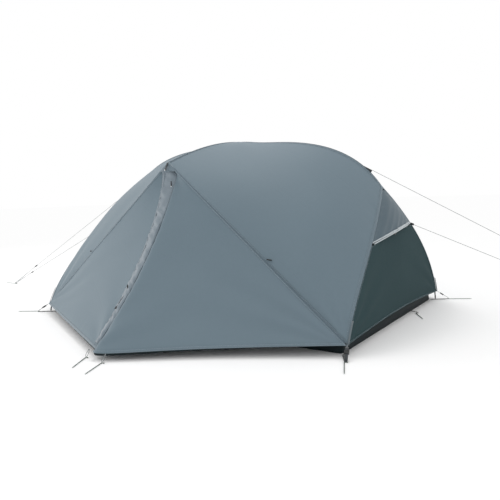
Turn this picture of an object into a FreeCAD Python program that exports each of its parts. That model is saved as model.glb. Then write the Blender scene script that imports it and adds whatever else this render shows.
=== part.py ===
import FreeCAD
import Part
import math
import os

# A two-person hub-pole trekking tent, pitched: flysheet, inner tent, pole frame, guys and pegs.
# Millimetres. The origin is on the ground at the centre of the footprint. +X runs to end "a", -X to end "b",
# -Y is the front and +Y the rear. The tent looks the same after half a turn about Z.

Vec = FreeCAD.Vector

# Overall sizes
half_length = 1075.0          # centre to a pole foot, along X
half_width = 740.0            # centre to a pole foot, along Y
ridge_height = 1062.0         # centreline of the ridge pole at its crown
hub_height = 740.0            # centreline of the Y hub that splits the ridge pole into two legs
cross_reach = 685.0           # flysheet at the tips of the cross pole, from the centre
cross_tip_height = 933.0      # flysheet at the tips of the cross pole
vestibule_reach = 1296.0      # hem of the doors at the zip, from the centre
hem_height = 55.0             # hem of the flysheet at the pole feet
door_hem_height = 38.0        # hem of the doors at the zip

# Curve fullness
ridge_power = 3.31            # the ridge pole is a superellipse in the XZ plane
leg_power = 1.52              # how fast a leg spreads below its hub
arc_power = 1.7               # the cross pole's droop
canopy_bulge = 34.0           # how far each quarter of the roof fills out at its middle

# Poles
pole_diameter = 8.5
pole_wall = 0.9
pole_fit = 0.15               # radial clearance in hubs, clips and ferrules
ferrule_wall = 0.7
ferrule_length = 50.0
shock_cord_diameter = 2.5
ridge_sections = 6
cross_sections = 4
leg_sections = 2
hub_wall = 8.1                # material round the poles at a Y hub's core
hub_socket_wall = 2.5
hub_socket_length = 38.0
hub_stop = 12.0               # solid core of a Y hub, from its centre to the pole's end
pole_stop = 2.0               # free play between that core and the pole
cross_clip_radius = 15.0      # the moulded clip that crosses the two poles
cross_clip_lip = 4.0          # its material under the ridge pole
cross_clip_cap = 4.7          # and over the cross pole
pole_crossing_gap = 1.0       # between the two poles
tip_length = 40.0
tip_shoulder = 0.72           # share of a foot tip's length that is as wide as the pole
cross_tip_shoulder = 0.6
tip_overlap = 0.5
tip_pin_radius = 2.6
tip_ball_rim = 1.6
pin_rest = 2.2                # height of a foot's pin above the ground, on its strap

# Cloth and sewing
cloth = 2.5                   # stand-in thickness of every cloth sheet
cover_clearance = 0.65        # between the ferrules and the flysheet
hub_clearance = 3.25          # between the Y hubs and the flysheet
crown_clearance = 6.0         # between the cross hub and the flysheet
seam_gap = 4.0                # from a hinge seam to the edge of each sheet beside it
ridge_gap = 2.0               # from the ridge seam to the edge of each canopy
panel_inset = 5.0             # from a leg seam to the edges of the end panels
cross_gap = 0.5               # from the cross pole's seam to each quarter of the roof

# Doors and zip
zip_x = 50.0                  # the front zip lies in the plane x = zip_x
zip_top_back = 17.0           # zip's head behind the cross pole's tip
zip_top_drop = 71.0           # and below it
zip_sag = 56.0                # how far the zip bows in between its ends
zip_half_gap = 4.3            # from the zip's centreline to the edge of each door
chain_half_width = 2.6
chain_thickness = 3.0
door_top_x = 62.0             # where a door's seam edge starts, from the middle
loop_x = 140.0                # peg loop on the hem of door a
loop_out = 20.0               # how far that loop pulls the hem out
loop_down = 2.0               # and down
loop_share = 0.125            # its place along the hem
door_b_loop_drop = 4.0        # door b's loop below the zip's foot
hem_loop_start = 7.5          # hem to the near end of a peg loop, in plan
hem_loop_end = 38.0           # hem to its far end
hem_loop_rest = 10.0          # height of its far end
hem_loop_half_width = 4.0
loop_cord_radius = 1.2
flap_top_width = 82.0
flap_foot_width = 42.0
flap_stand_off = 4.2
flap_start = 0.02             # shares of the zip's length
flap_run = 0.9
chain_start = 0.01
chain_run = 0.985
patch_rise = 6.0              # apex patch over the heads of the doors
patch_dip = 10.0
slider_low = 0.955            # shares of the zip's length, from its head
slider_high = 0.925
slider_side = 4.0             # from the door's edge to the slider's middle
slider_depth = 6.0            # slider's middle inside the cloth
slider_width = 7.0
slider_thickness = 4.0
pull_width = 5.0
pull_thickness = 1.6
bridge_width = 3.0

# End walls
vent_low = 478.0              # vent edge at one leg
vent_high = 546.0             # vent edge at the other leg
vent_lip = 12.0               # from the hood's edge down to the end panel
hood_bulge = 30.0             # how far the vent's prop holds the hood's edge out
hood_arch = 14.0              # how far the middle of that edge stands over its ends
hood_top_gap = 14.0           # from the Y hub's centre down to the hood
hood_side_power = 0.8         # how the bulge fades to the sides and upwards
hood_rise_power = 1.3
piping_radius = 3.5
piping_clearance = 1.0
prop_width = 20.0
prop_thickness = 2.4
prop_pin_radius = 2.6
prop_foot_out = 8.0           # prop's hinge outside the end panel
prop_foot_drop = 14.0         # and below the panel's edge
prop_head_back = 8.0          # prop's head inside the hood's edge
prop_head_drop = 12.0

# Inner tent
tub_end_gap = 25.0            # from a pole foot to the tub, along X
tub_side_gap = 28.0           # the same along Y
tub_height = 120.0
tub_lean = 18.0               # how far the tub's rim stands inside its foot
inner_drop = 45.0             # inner roof below the ridge pole's centreline
inner_power_mid = 2.3         # section fullness at the middle
inner_power_end = 1.15        # section fullness at the ends
inner_end_taper = 112.0       # how far the end walls lean in at their tops
door_left = -430.0            # inner door, along X on the front side
door_right = 430.0
door_foot = 175.0
door_head = 800.0
door_corner = 210.0
door_clearance = 5.0          # slit all round the inner door, where its zip runs
door_sill = 8.0               # slit under the inner door, where it folds down
inner_ridge_share = 0.97      # of the ridge pole's length that the inner hangs from
inner_end_gap = 0.5           # between the side and end walls
rim_gap = 1.5                 # between the tub's rim and the walls
end_shrink = 4.0              # end walls inside the ends of the side walls
end_top = 0.985               # share of the walls' height where the end walls stop
cut_near = -250.0             # along Y, the prism that cuts the inner door
cut_far = -900.0

# Clips that hang the inner tent
clip_wall = 1.1
clip_half_length = 6.0
ridge_clips = (0.2, 0.45, 0.7)      # shares of the half ridge, from its crown
leg_clips = (0.3, 0.6, 0.85)        # shares of a leg, from its hub
ridge_clip_reach = 27.0
leg_clip_reach = 20.0
clip_tab_width = 12.0
clip_tab_thickness = 3.0

# Straps, pegs and guys
strap_width = 15.0
strap_thickness = 1.6
strap_reach = 88.0            # pole foot to peg hook, in plan
strap_rise = 100.0            # how far a corner strap is sewn up its leg seam
peg_length = 150.0
peg_radius = 2.0
peg_hook_radius = 7.0
peg_point_length = 14.0
peg_point_radius = 0.5
ground_gap = 0.05             # under a lying peg
strap_gap = 0.15              # under a strap
strap_stop = 3.0              # from a strap's end to the peg's hook
strap_clearance = 3.5         # fly strap over the peg
strap_tilt = 1.2              # how far a fly strap faces upwards
strap_hem_out = 5.0           # from the hem's corner to the strap's head
strap_hem_drop = 4.0
seam_strap_gap = 2.0          # from the leg seam's cloth to the strap sewn up it
lock_seat = 0.38              # share of a fly strap, from its head
lock_side = 3.4
end_peg_y = 268.0             # middle peg of each end
end_peg_out = 22.0            # from the pole feet to its hook
end_peg_back = 12.0
end_loop_rest = 7.5
end_loop_half_width = 3.0
end_loop_height = 10.0        # where that loop is sewn to the tub
end_loop_gap = 5.5            # from the tub to the loop
end_peg_turn = -58.0          # degrees from +X
door_a_peg_turn = -67.0
door_b_peg_turn = -61.0
guy_peg_turn = 4.0
lock_length = 20.0
lock_wall = 2.4
lock_fit = 0.6
guy_radius = 1.1
guy_peg_reach = 1385.0        # from the pole feet to the guys' peg, along X
guy_peg_y = 115.0
upper_guy_back = 195.0        # from the pole feet back to where the upper guy leaves the ridge
lower_guy_at = 0.96           # share of the hood's edge where the lower guy leaves it
lower_guy_stand = Vec(6, 2, -4)
lower_tab_length = 22.0
lower_tab_width = 12.0
upper_loop_height = 3.6       # the loops lie one over the other on the peg
lower_loop_height = 0.6
guy_bend = 0.45               # share of a straight run that its bend may take
guy_start = 2.0
guy_spread = 0.2              # runner's end of the loop, a share of the loop's width
guy_lift = 2.6
patch_gap = 0.6
patch_length = 60.0
patch_width = 34.0
patch_stand = 26.0
runner_length = 28.0
runner_fit = 0.7
runner_wall = 1.5
runner_width = 9.0
runner_gap = 6.0              # from the guy's tail to the runner
runner_back = 330.0           # runner to the peg
loop_half_width = 7.0         # half the distance between the two strands of a guy's end loop
toggle_length = 26.0
toggle_radius = 3.0
toggle_seat = 0.6             # along the seam, from its head
toggle_inset = 20.0           # from the seam to the toggle's middle
toggle_stand = 6.0            # clear height of a toggle over the cloth
toggle_neck_radius = 1.4
toggle_neck_length = 2.5
toggle_lean = (0.75, 0.65)    # a toggle's bar, along the seam and across it
flap_toggle_across = 0.03     # share of the door's width
flap_toggle_stand = 9.0
flap_toggle_seats = (0.055, 0.66)   # along the flap, from its head
flap_elastic_foot = 0.77      # where the lower toggle's elastic ends, in its hook
elastic_radius = 1.0
hook_width = 8.0
hook_length = 15.0
hook_thickness = 3.0

# Direction of each corner's strap and peg, in degrees from +X
peg_corner_turn = {"a_front": -66.0, "b_front": -152.0, "a_rear": 28.0, "b_rear": 114.0}

pole_radius = pole_diameter / 2
pole_bore = pole_radius + pole_fit            # of every hub, clip and ferrule
ferrule_radius = pole_bore + ferrule_wall
cover = ferrule_radius + cover_clearance + cloth / 2    # flysheet outside the poles, along each axis
hub_radius = pole_bore + hub_wall
hub_cover = hub_radius + hub_clearance + cloth / 2
cross_z = ridge_height + 2 * pole_bore + pole_crossing_gap
clip_top = cross_z + pole_radius + cross_clip_cap
crown_height = clip_top + crown_clearance + cloth / 2   # flysheet over the crossing of the poles
tub_half_length = half_length - tub_end_gap
tub_half_width = half_width - tub_side_gap
lock_width = strap_width + 2 * (lock_fit + lock_side)
guy_peg_x = half_length + guy_peg_reach
upper_guy_x = half_length - upper_guy_back
solids = {}


def keep(name, *shapes):
    """Adds solids to a node."""
    solids.setdefault(name, []).extend(shapes)


def half_turn(shape):
    """The same piece on the opposite side of the tent."""
    turned = shape.copy()
    turned.rotate(Vec(0, 0, 0), Vec(0, 0, 1), 180)
    return turned


def unit(v):
    return Vec(v) / v.Length


def mix(a, b, t):
    return a * (1 - t) + b * t


def across(point, start, end):
    """Unit vector from the line start-end towards point, square to the line."""
    along = unit(end - start)
    off = point - start
    return unit(off - along * off.dot(along))


def sheet(point, nu, nv, thickness=cloth):
    """A cloth solid around the surface point(u, v), with u and v from 0 to 1."""
    step = 1e-3

    def normal(u, v):
        u0, u1 = max(u - step, 0), min(u + step, 1)
        v0, v1 = max(v - step, 0), min(v + step, 1)
        return unit((point(u1, v) - point(u0, v)).cross(point(u, v1) - point(u, v0)))

    skins = []
    for side in (0.5, -0.5):
        rows = [[point(i / nu, j / nv) + normal(i / nu, j / nv) * (side * thickness)
                 for j in range(nv + 1)] for i in range(nu + 1)]
        surface = Part.BSplineSurface()
        surface.interpolate(rows)
        skins.append(surface)
    faces = [s.toShape() for s in skins]
    for iso, value in (("uIso", 0), ("uIso", 1), ("vIso", 0), ("vIso", 1)):
        rails = []
        for s in skins:
            u0, u1, v0, v1 = s.bounds()
            at = (u0, u1)[value] if iso == "uIso" else (v0, v1)[value]
            rails.append(getattr(s, iso)(at).toShape())
        faces.append(Part.makeRuledSurface(*rails))
    shell = Part.makeShell(faces)
    shell.sewShape()
    solid = Part.makeSolid(shell)
    if solid.Volume < 0:
        solid.reverse()
    return solid


def coons(top, foot, left, right):
    """Surface between four edge curves: top(u), foot(u), left(v) and right(v)."""
    def point(u, v):
        ruled = mix(top(u), foot(u), v) + mix(left(v), right(v), u)
        corners = mix(mix(top(0), top(1), u), mix(foot(0), foot(1), u), v)
        return ruled - corners
    return point


def arc_path(points, tangent):
    """A wire of arcs through points, each tangent to the one before."""
    edges = []
    for a, b in zip(points, points[1:]):
        chord = b - a
        along = unit(chord)
        side = tangent - along * tangent.dot(along)
        turn = math.atan2(side.Length, tangent.dot(along))
        if turn < 1e-4:
            edges.append(Part.LineSegment(a, b).toShape())
        else:
            middle = (a + b) / 2 + unit(side) * (chord.Length / 2 * math.tan(turn / 2))
            edges.append(Part.Arc(a, middle, b).toShape())
        tangent = along * (2 * tangent.dot(along)) - tangent
    return Part.Wire(edges)


def rod_along(curve, t0, t1, radius, spans):
    """A round solid along curve(t), as a chain of tangent arcs."""
    points = [curve(t0 + (t1 - t0) * i / spans) for i in range(spans + 1)]
    small = (t1 - t0) * 1e-3
    tangent = unit(curve(t0 + small) - points[0])
    ring = Part.Wire(Part.makeCircle(radius, points[0], tangent))
    return arc_path(points, tangent).makePipeShell([ring], True, False)


def tube_along(curve, t0, t1, outer, inner, spans):
    return rod_along(curve, t0, t1, outer, spans).cut(rod_along(curve, t0, t1, inner, spans))


def cylinder_between(a, b, radius, end_radius=None):
    along = b - a
    if end_radius is None:
        return Part.makeCylinder(radius, along.Length, a, along)
    return Part.makeCone(radius, end_radius, along.Length, a, along)


def strip(a, b, width, thickness, up):
    """A flat strap from a to b, whose broad side faces up."""
    along = unit(b - a)
    side = unit(up.cross(along))
    face = unit(along.cross(side))
    corners = [a + side * (s * width / 2) + face * (t * thickness / 2)
               for s, t in ((-1, -1), (1, -1), (1, 1), (-1, 1))]
    profile = Part.Face(Part.makePolygon(corners + corners[:1]))
    return profile.extrude(b - a)


def ridge_z(x):
    return ridge_height * (1 - (abs(x) / half_length) ** ridge_power) ** (1 / ridge_power)


def leg_x(z):
    return half_length * (1 - (z / ridge_height) ** ridge_power) ** (1 / ridge_power)


hub_x = leg_x(hub_height)


def leg_y(z):
    return half_width * (1 - (z / hub_height) ** leg_power)


def ridge_curve(t):
    """Ridge pole from hub b (t = -1) to hub a (t = 1), evenly spread along its bend."""
    lean = t * math.atan2(hub_x, hub_height * half_length / ridge_height)
    s, c = abs(math.sin(lean)), math.cos(lean)
    reach = (s ** ridge_power + c ** ridge_power) ** (-1 / ridge_power)
    return Vec(math.copysign(half_length * s * reach, t), 0, ridge_height * c * reach)


def leg_curve(t, sx, sy):
    """A leg from its hub (t = 0) to its foot (t = 1)."""
    z = hub_height * (1 - t) + pin_rest * t
    return Vec(sx * leg_x(z), sy * leg_y(z), z)


def cross_curve(t):
    """Cross pole from the front tip (t = -1) to the rear tip (t = 1)."""
    tip = cross_reach - 2 * cover
    drop = cross_z - (cross_tip_height - cover)
    y = t * tip
    return Vec(0, y, cross_z - drop * (1 - math.cos(t * 1.2)) / (1 - math.cos(1.2)))


# Corners of the flysheet's front half; the rear is half a turn away
head = Vec(0, -cross_reach, cross_tip_height)


def hem_corner(sx):
    return Vec(sx * (half_length + cover), -half_width - cover, hem_height)


def seam(t, sx):
    """The sewn diagonal from the head of the doors to the corner of end a (sx = 1) or b (sx = -1)."""
    return mix(head, hem_corner(sx), t)


def leg_seam(z, sx, sy):
    """Flysheet seam that runs outside a leg."""
    rise = (max(z, 0) / hub_height) ** 6
    out = mix(Vec(sx * cover, sy * cover, 0), Vec(sx * hub_cover, 0, hub_cover), rise)
    return Vec(sx * leg_x(z), sy * leg_y(z), z) + out


def ridge_seam(x):
    bump = (crown_height - ridge_height - cover) * math.exp(-(x / 150.0) ** 2)
    rise = (abs(x) / hub_x) ** 6
    out = mix(Vec(0, 0, cover + bump), Vec(math.copysign(hub_cover, x), 0, hub_cover), rise)
    return Vec(x, 0, ridge_z(x)) + out


def cross_seam(y):
    drop = crown_height - cross_tip_height
    return Vec(0, -y, crown_height - drop * (y / cross_reach) ** arc_power)


def pole_frame():
    inner = pole_radius - pole_wall
    from_hub = hub_stop + pole_stop
    end_t = from_hub / ridge_run
    runs = [("ridge_pole", ridge_curve, -1 + end_t, 1 - end_t, ridge_sections, ridge_run * 2, 4)]
    tip_t = 1 - tip_length / cross_run
    runs.append(("cross_pole", cross_curve, -tip_t, tip_t, cross_sections, cross_run * 2, 4))
    for sx in (1, -1):
        for sy in (1, -1):
            def leg(t, sx=sx, sy=sy):
                return leg_curve(t, sx, sy)
            start_t, foot_t = from_hub / leg_run, 1 - tip_length / leg_run
            runs.append(("leg_poles", leg, start_t, foot_t, leg_sections, leg_run, 5))
    for name, curve, t0, t1, count, run, spans in runs:
        joint = ferrule_length / 2 / run * (2 if t0 < 0 else 1)
        cuts = [t0 + (t1 - t0) * i / count for i in range(count + 1)]
        for a, b in zip(cuts, cuts[1:]):
            keep(name, tube_along(curve, a, b, pole_radius, inner, spans))
        for t in cuts[1:-1]:
            if abs(t) < 0.02:
                continue
            keep("pole_ferrules", tube_along(curve, t - joint, t + joint, ferrule_radius, pole_bore, 2))
        keep("shock_cords", rod_along(curve, t0, t1, shock_cord_diameter / 2, spans * count))


def run_of(curve, t0, t1, steps=60):
    points = [curve(t0 + (t1 - t0) * i / steps) for i in range(steps + 1)]
    return sum((b - a).Length for a, b in zip(points, points[1:]))


ridge_run = run_of(ridge_curve, 0, 1)
cross_run = run_of(cross_curve, 0, 1)
leg_run = run_of(lambda t: leg_curve(t, 1, 1), 0, 1)


def hubs_and_tips():
    hub = ridge_curve(1)
    arms = [lambda s: ridge_curve(1 - s / ridge_run)]
    for sy in (1, -1):
        arms.append(lambda s, sy=sy: leg_curve(s / leg_run, 1, sy))
    body = Part.makeSphere(hub_radius, hub)
    for arm in arms:
        body = body.fuse(cylinder_between(hub, arm(hub_socket_length), pole_bore + hub_socket_wall))
    for arm in arms:
        body = body.cut(rod_along(arm, hub_stop, hub_stop + hub_socket_length, pole_bore, 2))
    keep("pole_hubs", body, half_turn(body))

    clip_foot = ridge_height - pole_radius - cross_clip_lip
    clip = Part.makeCylinder(cross_clip_radius, clip_top - clip_foot, Vec(0, 0, clip_foot))
    for curve, run in ((ridge_curve, ridge_run), (cross_curve, cross_run)):
        through = 2 * cross_clip_radius / run
        clip = clip.cut(rod_along(curve, -through, through, pole_bore, 2))
    keep("cross_hub", max(clip.Solids, key=lambda s: s.Volume))

    for sy in (1, -1):
        top = leg_curve(1 - (tip_length - tip_overlap) / leg_run, 1, sy)
        foot = leg_curve(1, 1, sy)
        shoulder = mix(top, foot, tip_shoulder)
        tip = cylinder_between(top, shoulder, pole_radius)
        tip = tip.fuse(cylinder_between(shoulder, foot + Vec(0, 0, 0.4), tip_pin_radius))
        keep("pole_tips", tip, half_turn(tip))
    top = cross_curve(-(1 - tip_length / cross_run))
    end = cross_curve(-1)
    shoulder = mix(top, end, cross_tip_shoulder)
    tip = cylinder_between(top, shoulder, pole_radius)
    tip = tip.fuse(cylinder_between(mix(top, shoulder, 0.9), end, tip_pin_radius))
    tip = tip.fuse(Part.makeSphere(tip_pin_radius + tip_ball_rim, end))
    keep("pole_tips", tip, half_turn(tip))


def canopy():
    """One side of the roof: two quarters, each between the ridge, a leg, a door seam and the cross pole."""
    for sx in (1, -1):
        def ridge_edge(u, sx=sx):
            return ridge_seam(sx * u * hub_x) + Vec(0, -ridge_gap, 0)

        def seam_edge(u, sx=sx):
            inward = across(ridge_seam(sx * hub_x), seam(0, sx), seam(1, sx))
            return seam(u, sx) + inward * seam_gap

        def cross_edge(v, sx=sx):
            start, end = ridge_edge(0, sx), seam_edge(0, sx)
            base = cross_seam(v * cross_reach)
            shift = mix(start - cross_seam(0), end - cross_seam(cross_reach), v)
            return base + shift + Vec(sx * cross_gap, 0, 0)

        def leg_edge(v, sx=sx):
            start, end = ridge_edge(1, sx), seam_edge(1, sx)
            z = mix(hub_height, hem_height, v)
            return leg_seam(z, sx, -1) + mix(start - leg_seam(hub_height, sx, -1), end - hem_corner(sx), v)

        flat = coons(ridge_edge, seam_edge, cross_edge, leg_edge)
        out = unit(Vec(sx * 0.5, -1, 0.9))

        def filled(u, v, flat=flat, out=out):
            return flat(u, v) + out * (canopy_bulge * math.sin(math.pi * u) * math.sin(math.pi * v))

        quarter = sheet(filled, 8, 8)
        keep("canopy_front", quarter)
        keep("canopy_rear", half_turn(quarter))


zip_foot = Vec(zip_x, -vestibule_reach, door_hem_height)
zip_head = Vec(zip_x, zip_top_back - cross_reach, cross_tip_height - zip_top_drop)
zip_chord = zip_head - zip_foot
zip_out = Vec(0, -zip_chord.z, zip_chord.y) / zip_chord.Length
zip_radius = (zip_chord.Length / 2) ** 2 / (2 * zip_sag) + zip_sag / 2
zip_centre = (zip_foot + zip_head) / 2 + zip_out * (zip_radius - zip_sag)
zip_start = math.atan2(zip_foot.z - zip_centre.z, zip_foot.y - zip_centre.y)
zip_sweep = math.atan2(zip_head.z - zip_centre.z, zip_head.y - zip_centre.y) - zip_start
loop_hem = Vec(loop_x, -vestibule_reach - loop_out, door_hem_height - loop_down)
zip_hem = Vec(0, -vestibule_reach, door_hem_height - door_b_loop_drop)


def zip_line(v, shift=0.0, lift=0.0):
    """The front zip from its head (v = 0) to its foot (v = 1), moved along X and out of the cloth."""
    turn = zip_start + zip_sweep * (1 - v)
    reach = zip_radius - lift
    return zip_centre + Vec(shift, reach * math.cos(turn), reach * math.sin(turn))


def direction(degrees):
    """Unit vector in plan, in degrees from +X."""
    return Vec(math.cos(math.radians(degrees)), math.sin(math.radians(degrees)), 0)


def door_surface(sx):
    """Front door beside end a (sx = 1) or b (sx = -1), with u from zip to seam and v from head to hem."""
    start_t = door_top_x / hem_corner(1).x
    inward = across(zip_foot, seam(0, sx), seam(1, sx))

    def seam_edge(v):
        return seam(start_t + (1 - start_t) * v, sx) + inward * seam_gap

    def zip_edge(v):
        return zip_line(v, sx * zip_half_gap)

    def hem_edge(u):
        start, end = zip_edge(1), seam_edge(1)
        if sx < 0:
            return mix(start, end, u)
        if u < loop_share:
            return mix(start, loop_hem, u / loop_share)
        return mix(loop_hem, end, (u - loop_share) / (1 - loop_share))

    def top_edge(u):
        return mix(zip_edge(0), seam_edge(0), u)

    return coons(top_edge, hem_edge, zip_edge, seam_edge)


def cord_loop(a, b, half, radius):
    """A closed loop of cord from a to b, lying in a steep plane."""
    along = unit(b - a)
    side = unit(Vec(0, 0, 1).cross(along)) * half
    edges = []
    for start, end, s in ((a, b, 1), (b, a, -1)):
        edges.append(Part.LineSegment(start + side * s, end + side * s).toShape())
        edges.append(Part.Arc(end + side * s, end + along * (half * s), end - side * s).toShape())
    ring = Part.Wire(Part.makeCircle(radius, a + side, along))
    return Part.Wire(edges).makePipeShell([ring], True, False)


def doors():
    names = {1: ("fly_door_front_a", "fly_door_rear_b"), -1: ("fly_door_front_b", "fly_door_rear_a")}
    for sx in (1, -1):
        surface = door_surface(sx)
        panel = sheet(surface, 8, 8)
        hem, turn = (loop_hem, door_a_peg_turn) if sx > 0 else (zip_hem, door_b_peg_turn)
        far = hem + direction(turn) * hem_loop_end + Vec(0, 0, hem_loop_rest - hem.z)
        near = mix(hem, far, hem_loop_start / hem_loop_end)
        loop = cord_loop(near, far, hem_loop_half_width, loop_cord_radius)
        keep(names[sx][0], panel, loop)
        keep(names[sx][1], half_turn(panel), half_turn(loop))

    surface = door_surface(-1)

    def flap_point(u, v):
        along = flap_start + v * flap_run
        width = mix(flap_top_width, flap_foot_width, v)
        wide = (surface(1, along) - surface(0, along)).Length
        near = surface(u * min(width / wide, 1), along)
        lift = (surface(0.02, along) - surface(0, along)).cross(surface(0, along + 0.02) - surface(0, along))
        return near + unit(lift) * (-flap_stand_off if lift.y > 0 else flap_stand_off)

    flap = sheet(flap_point, 3, 8, cloth)
    keep("storm_flap_front", flap)
    keep("storm_flap_rear", half_turn(flap))

    def chain_point(u, v):
        return zip_line(chain_start + chain_run * v, mix(-chain_half_width, chain_half_width, u))

    chain = sheet(chain_point, 1, 8, chain_thickness)
    keep("zip_front", chain)
    keep("zip_rear", half_turn(chain))


def zip_sliders():
    """The slider's body sits on the tape of door b, and its pull hangs down outside."""
    side = -zip_half_gap - slider_side
    low = zip_line(slider_low, side, -slider_depth)
    high = zip_line(slider_high, side, -slider_depth)
    out = unit(low - zip_line(slider_low, side))
    body = strip(low, high, slider_width, slider_thickness, out)
    eye = mix(low, high, 0.8)
    stand = out * slider_thickness
    pull = strip(eye + stand, low + stand + (low - high) * 0.9, pull_width, pull_thickness, out)
    stand = out * (slider_thickness * 0.625)
    bridge = strip(mix(low, high, 0.55) + stand, eye + stand, bridge_width, slider_thickness, out)
    slider = body.fuse(bridge).fuse(pull)
    keep("zip_slider_front", slider)
    keep("zip_slider_rear", half_turn(slider))
    travel = math.degrees(zip_sweep) * ((slider_low + slider_high) / 2 - flap_start)
    print("zip centre", [round(c, 3) for c in zip_centre], "travel", round(travel, 2))


def toggles():
    for sx, own, twin in ((1, "front_a", "rear_b"), (-1, "front_b", "rear_a")):
        inward = across(ridge_seam(sx * hub_x), seam(0, sx), seam(1, sx))
        along = unit(seam(1, sx) - seam(0, sx))
        out = unit(along.cross(inward))
        if out.y > 0:
            out = out * -1
        seat = seam(toggle_seat, sx) + inward * toggle_inset + out * (cloth + toggle_radius + toggle_stand)
        bar = unit(along * toggle_lean[0] + inward * toggle_lean[1]) * (toggle_length / 2)
        bead = cylinder_between(seat - bar, seat + bar, toggle_radius)
        neck = cylinder_between(seat - out * (toggle_radius + toggle_neck_length), seat, toggle_neck_radius)
        toggle = bead.fuse(neck)
        keep("seam_toggle_" + own, toggle)
        keep("seam_toggle_" + twin, half_turn(toggle))
        print("toggle", own, "axis", [round(c, 5) for c in out], "seat", [round(c, 2) for c in seat])

    surface = door_surface(-1)
    stand = Vec(0, -1, 0.35) * (flap_stand_off + cloth + toggle_radius + flap_toggle_stand)
    drop = Vec(0, 0, toggle_length / 2)
    for along in flap_toggle_seats:
        seat = surface(flap_toggle_across, along) + stand
        toggle = cylinder_between(seat - drop, seat + drop, toggle_radius)
        keep("flap_toggles_front", toggle)
        keep("flap_toggles_rear", half_turn(toggle))
    start, end = seat - drop, surface(flap_toggle_across, flap_elastic_foot) + stand
    way = unit(end - start)
    elastic = cylinder_between(start, end, elastic_radius)
    hook = strip(end, end + way * hook_length, hook_width, hook_thickness, Vec(0, -1, 0.5))
    keep("flap_toggles_front", elastic, hook)
    keep("flap_toggles_rear", half_turn(elastic), half_turn(hook))


def apex_patches():
    """Reinforcement over each cross pole tip, from the head of the seams down to the top of the doors."""
    start_t = door_top_x / hem_corner(1).x

    def point(u, v):
        top = mix(seam(0.006, 1), seam(0.006, -1), u) + Vec(0, 0, 1)
        dip = Vec(0, patch_dip * math.sin(math.pi * u), patch_rise)
        foot = mix(seam(start_t, 1), seam(start_t, -1), u) + dip
        return mix(top, foot, v)

    patch = sheet(point, 4, 3)
    keep("apex_patches", patch, half_turn(patch))


def end_span(z_front, z_rear, u, inset=panel_inset):
    """A point straight across end a, between its two leg seams at the given heights."""
    front = leg_seam(z_front, 1, -1) + Vec(0, inset, 0)
    rear = leg_seam(z_rear, 1, 1) - Vec(0, inset, 0)
    return mix(front, rear, u)


def hood_point(u, v):
    """The vent hood, with v from its top, near the hub, to its free edge."""
    top = hub_height - hood_top_gap
    flare = math.sin(math.pi * u) ** hood_side_power * v ** hood_rise_power
    across_end = end_span(mix(top, vent_low, v), mix(top, vent_high, v), u, panel_inset * v)
    return across_end + Vec(hood_bulge, 0, hood_arch) * flare


def end_walls():
    def panel_point(u, v):
        low, high = vent_low - vent_lip, vent_high - vent_lip
        arch = Vec(0, 0, hood_arch * math.sin(math.pi * u) * v)
        return end_span(mix(hem_height, low, v), mix(hem_height, high, v), u) + arch

    panel = sheet(panel_point, 6, 6)
    hood = sheet(hood_point, 8, 6)
    keep("fly_end_a", panel)
    keep("fly_end_b", half_turn(panel))
    keep("vent_hood_a", hood)
    keep("vent_hood_b", half_turn(hood))

    def edge(u):
        return hood_point(u, 1) - Vec(0, 0, piping_radius + cloth / 2 + piping_clearance)

    piping = rod_along(edge, 0.02, 0.98, piping_radius, 8)
    keep("hood_pipings", piping, half_turn(piping))

    foot = panel_point(0.5, 1) + Vec(prop_foot_out, 0, -prop_foot_drop)
    top = hood_point(0.5, 1) - Vec(prop_head_back, 0, prop_head_drop)
    prop = strip(foot, top, prop_width, prop_thickness, Vec(-1, 0, 2))
    half_pin = Vec(0, prop_width / 2, 0)
    pin = cylinder_between(foot - half_pin, foot + half_pin, prop_pin_radius)
    prop = prop.fuse(pin)
    keep("vent_prop_a", prop)
    keep("vent_prop_b", half_turn(prop))
    print("prop hinge", foot, "top", top)


def inner_height(u):
    return ridge_z(u * hub_x * inner_ridge_share) - inner_drop


def inner_point(u, v, sy=-1, shrink=0.0):
    """Inner wall, with u from end b (-1) to end a (1) and v from the tub's rim to the roof line."""
    wide = tub_half_width - tub_lean - cloth / 2 - shrink
    tall = inner_height(u)
    power = inner_power_end + (inner_power_mid - inner_power_end) * (1 - abs(u)) ** 0.8
    rim = (tub_height + rim_gap) / tall
    first = math.atan2(rim, (1 - rim ** power) ** (1 / power))
    turn = first + (math.pi / 2 - 0.006 - first) * v
    c, s = math.cos(turn), math.sin(turn)
    reach = (c ** power + s ** power) ** (-1 / power)
    z = tall * s * reach
    x = u * (tub_half_length - tub_lean - cloth - inner_end_taper * (z / hub_height) ** 3)
    return Vec(x, sy * wide * c * reach / (1 - rim ** power) ** (1 / power), z)


def rounded_prism(left, right, foot, top, corner, y0, y1):
    """A prism along Y with rounded upper corners, in the shape of the inner door."""
    def at(x, z):
        return Vec(x, y0, z)

    diagonal = corner * (1 - math.sqrt(0.5))
    right_bend = (at(right, top - corner), at(right - diagonal, top - diagonal), at(right - corner, top))
    left_bend = (at(left + corner, top), at(left + diagonal, top - diagonal), at(left, top - corner))
    edges = [Part.LineSegment(at(left, foot), at(right, foot)).toShape(),
             Part.LineSegment(at(right, foot), right_bend[0]).toShape(),
             Part.Arc(*right_bend).toShape(),
             Part.LineSegment(right_bend[2], left_bend[0]).toShape(),
             Part.Arc(*left_bend).toShape(),
             Part.LineSegment(left_bend[2], at(left, foot)).toShape()]
    return Part.Face(Part.Wire(edges)).extrude(Vec(0, y1 - y0, 0))


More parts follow.
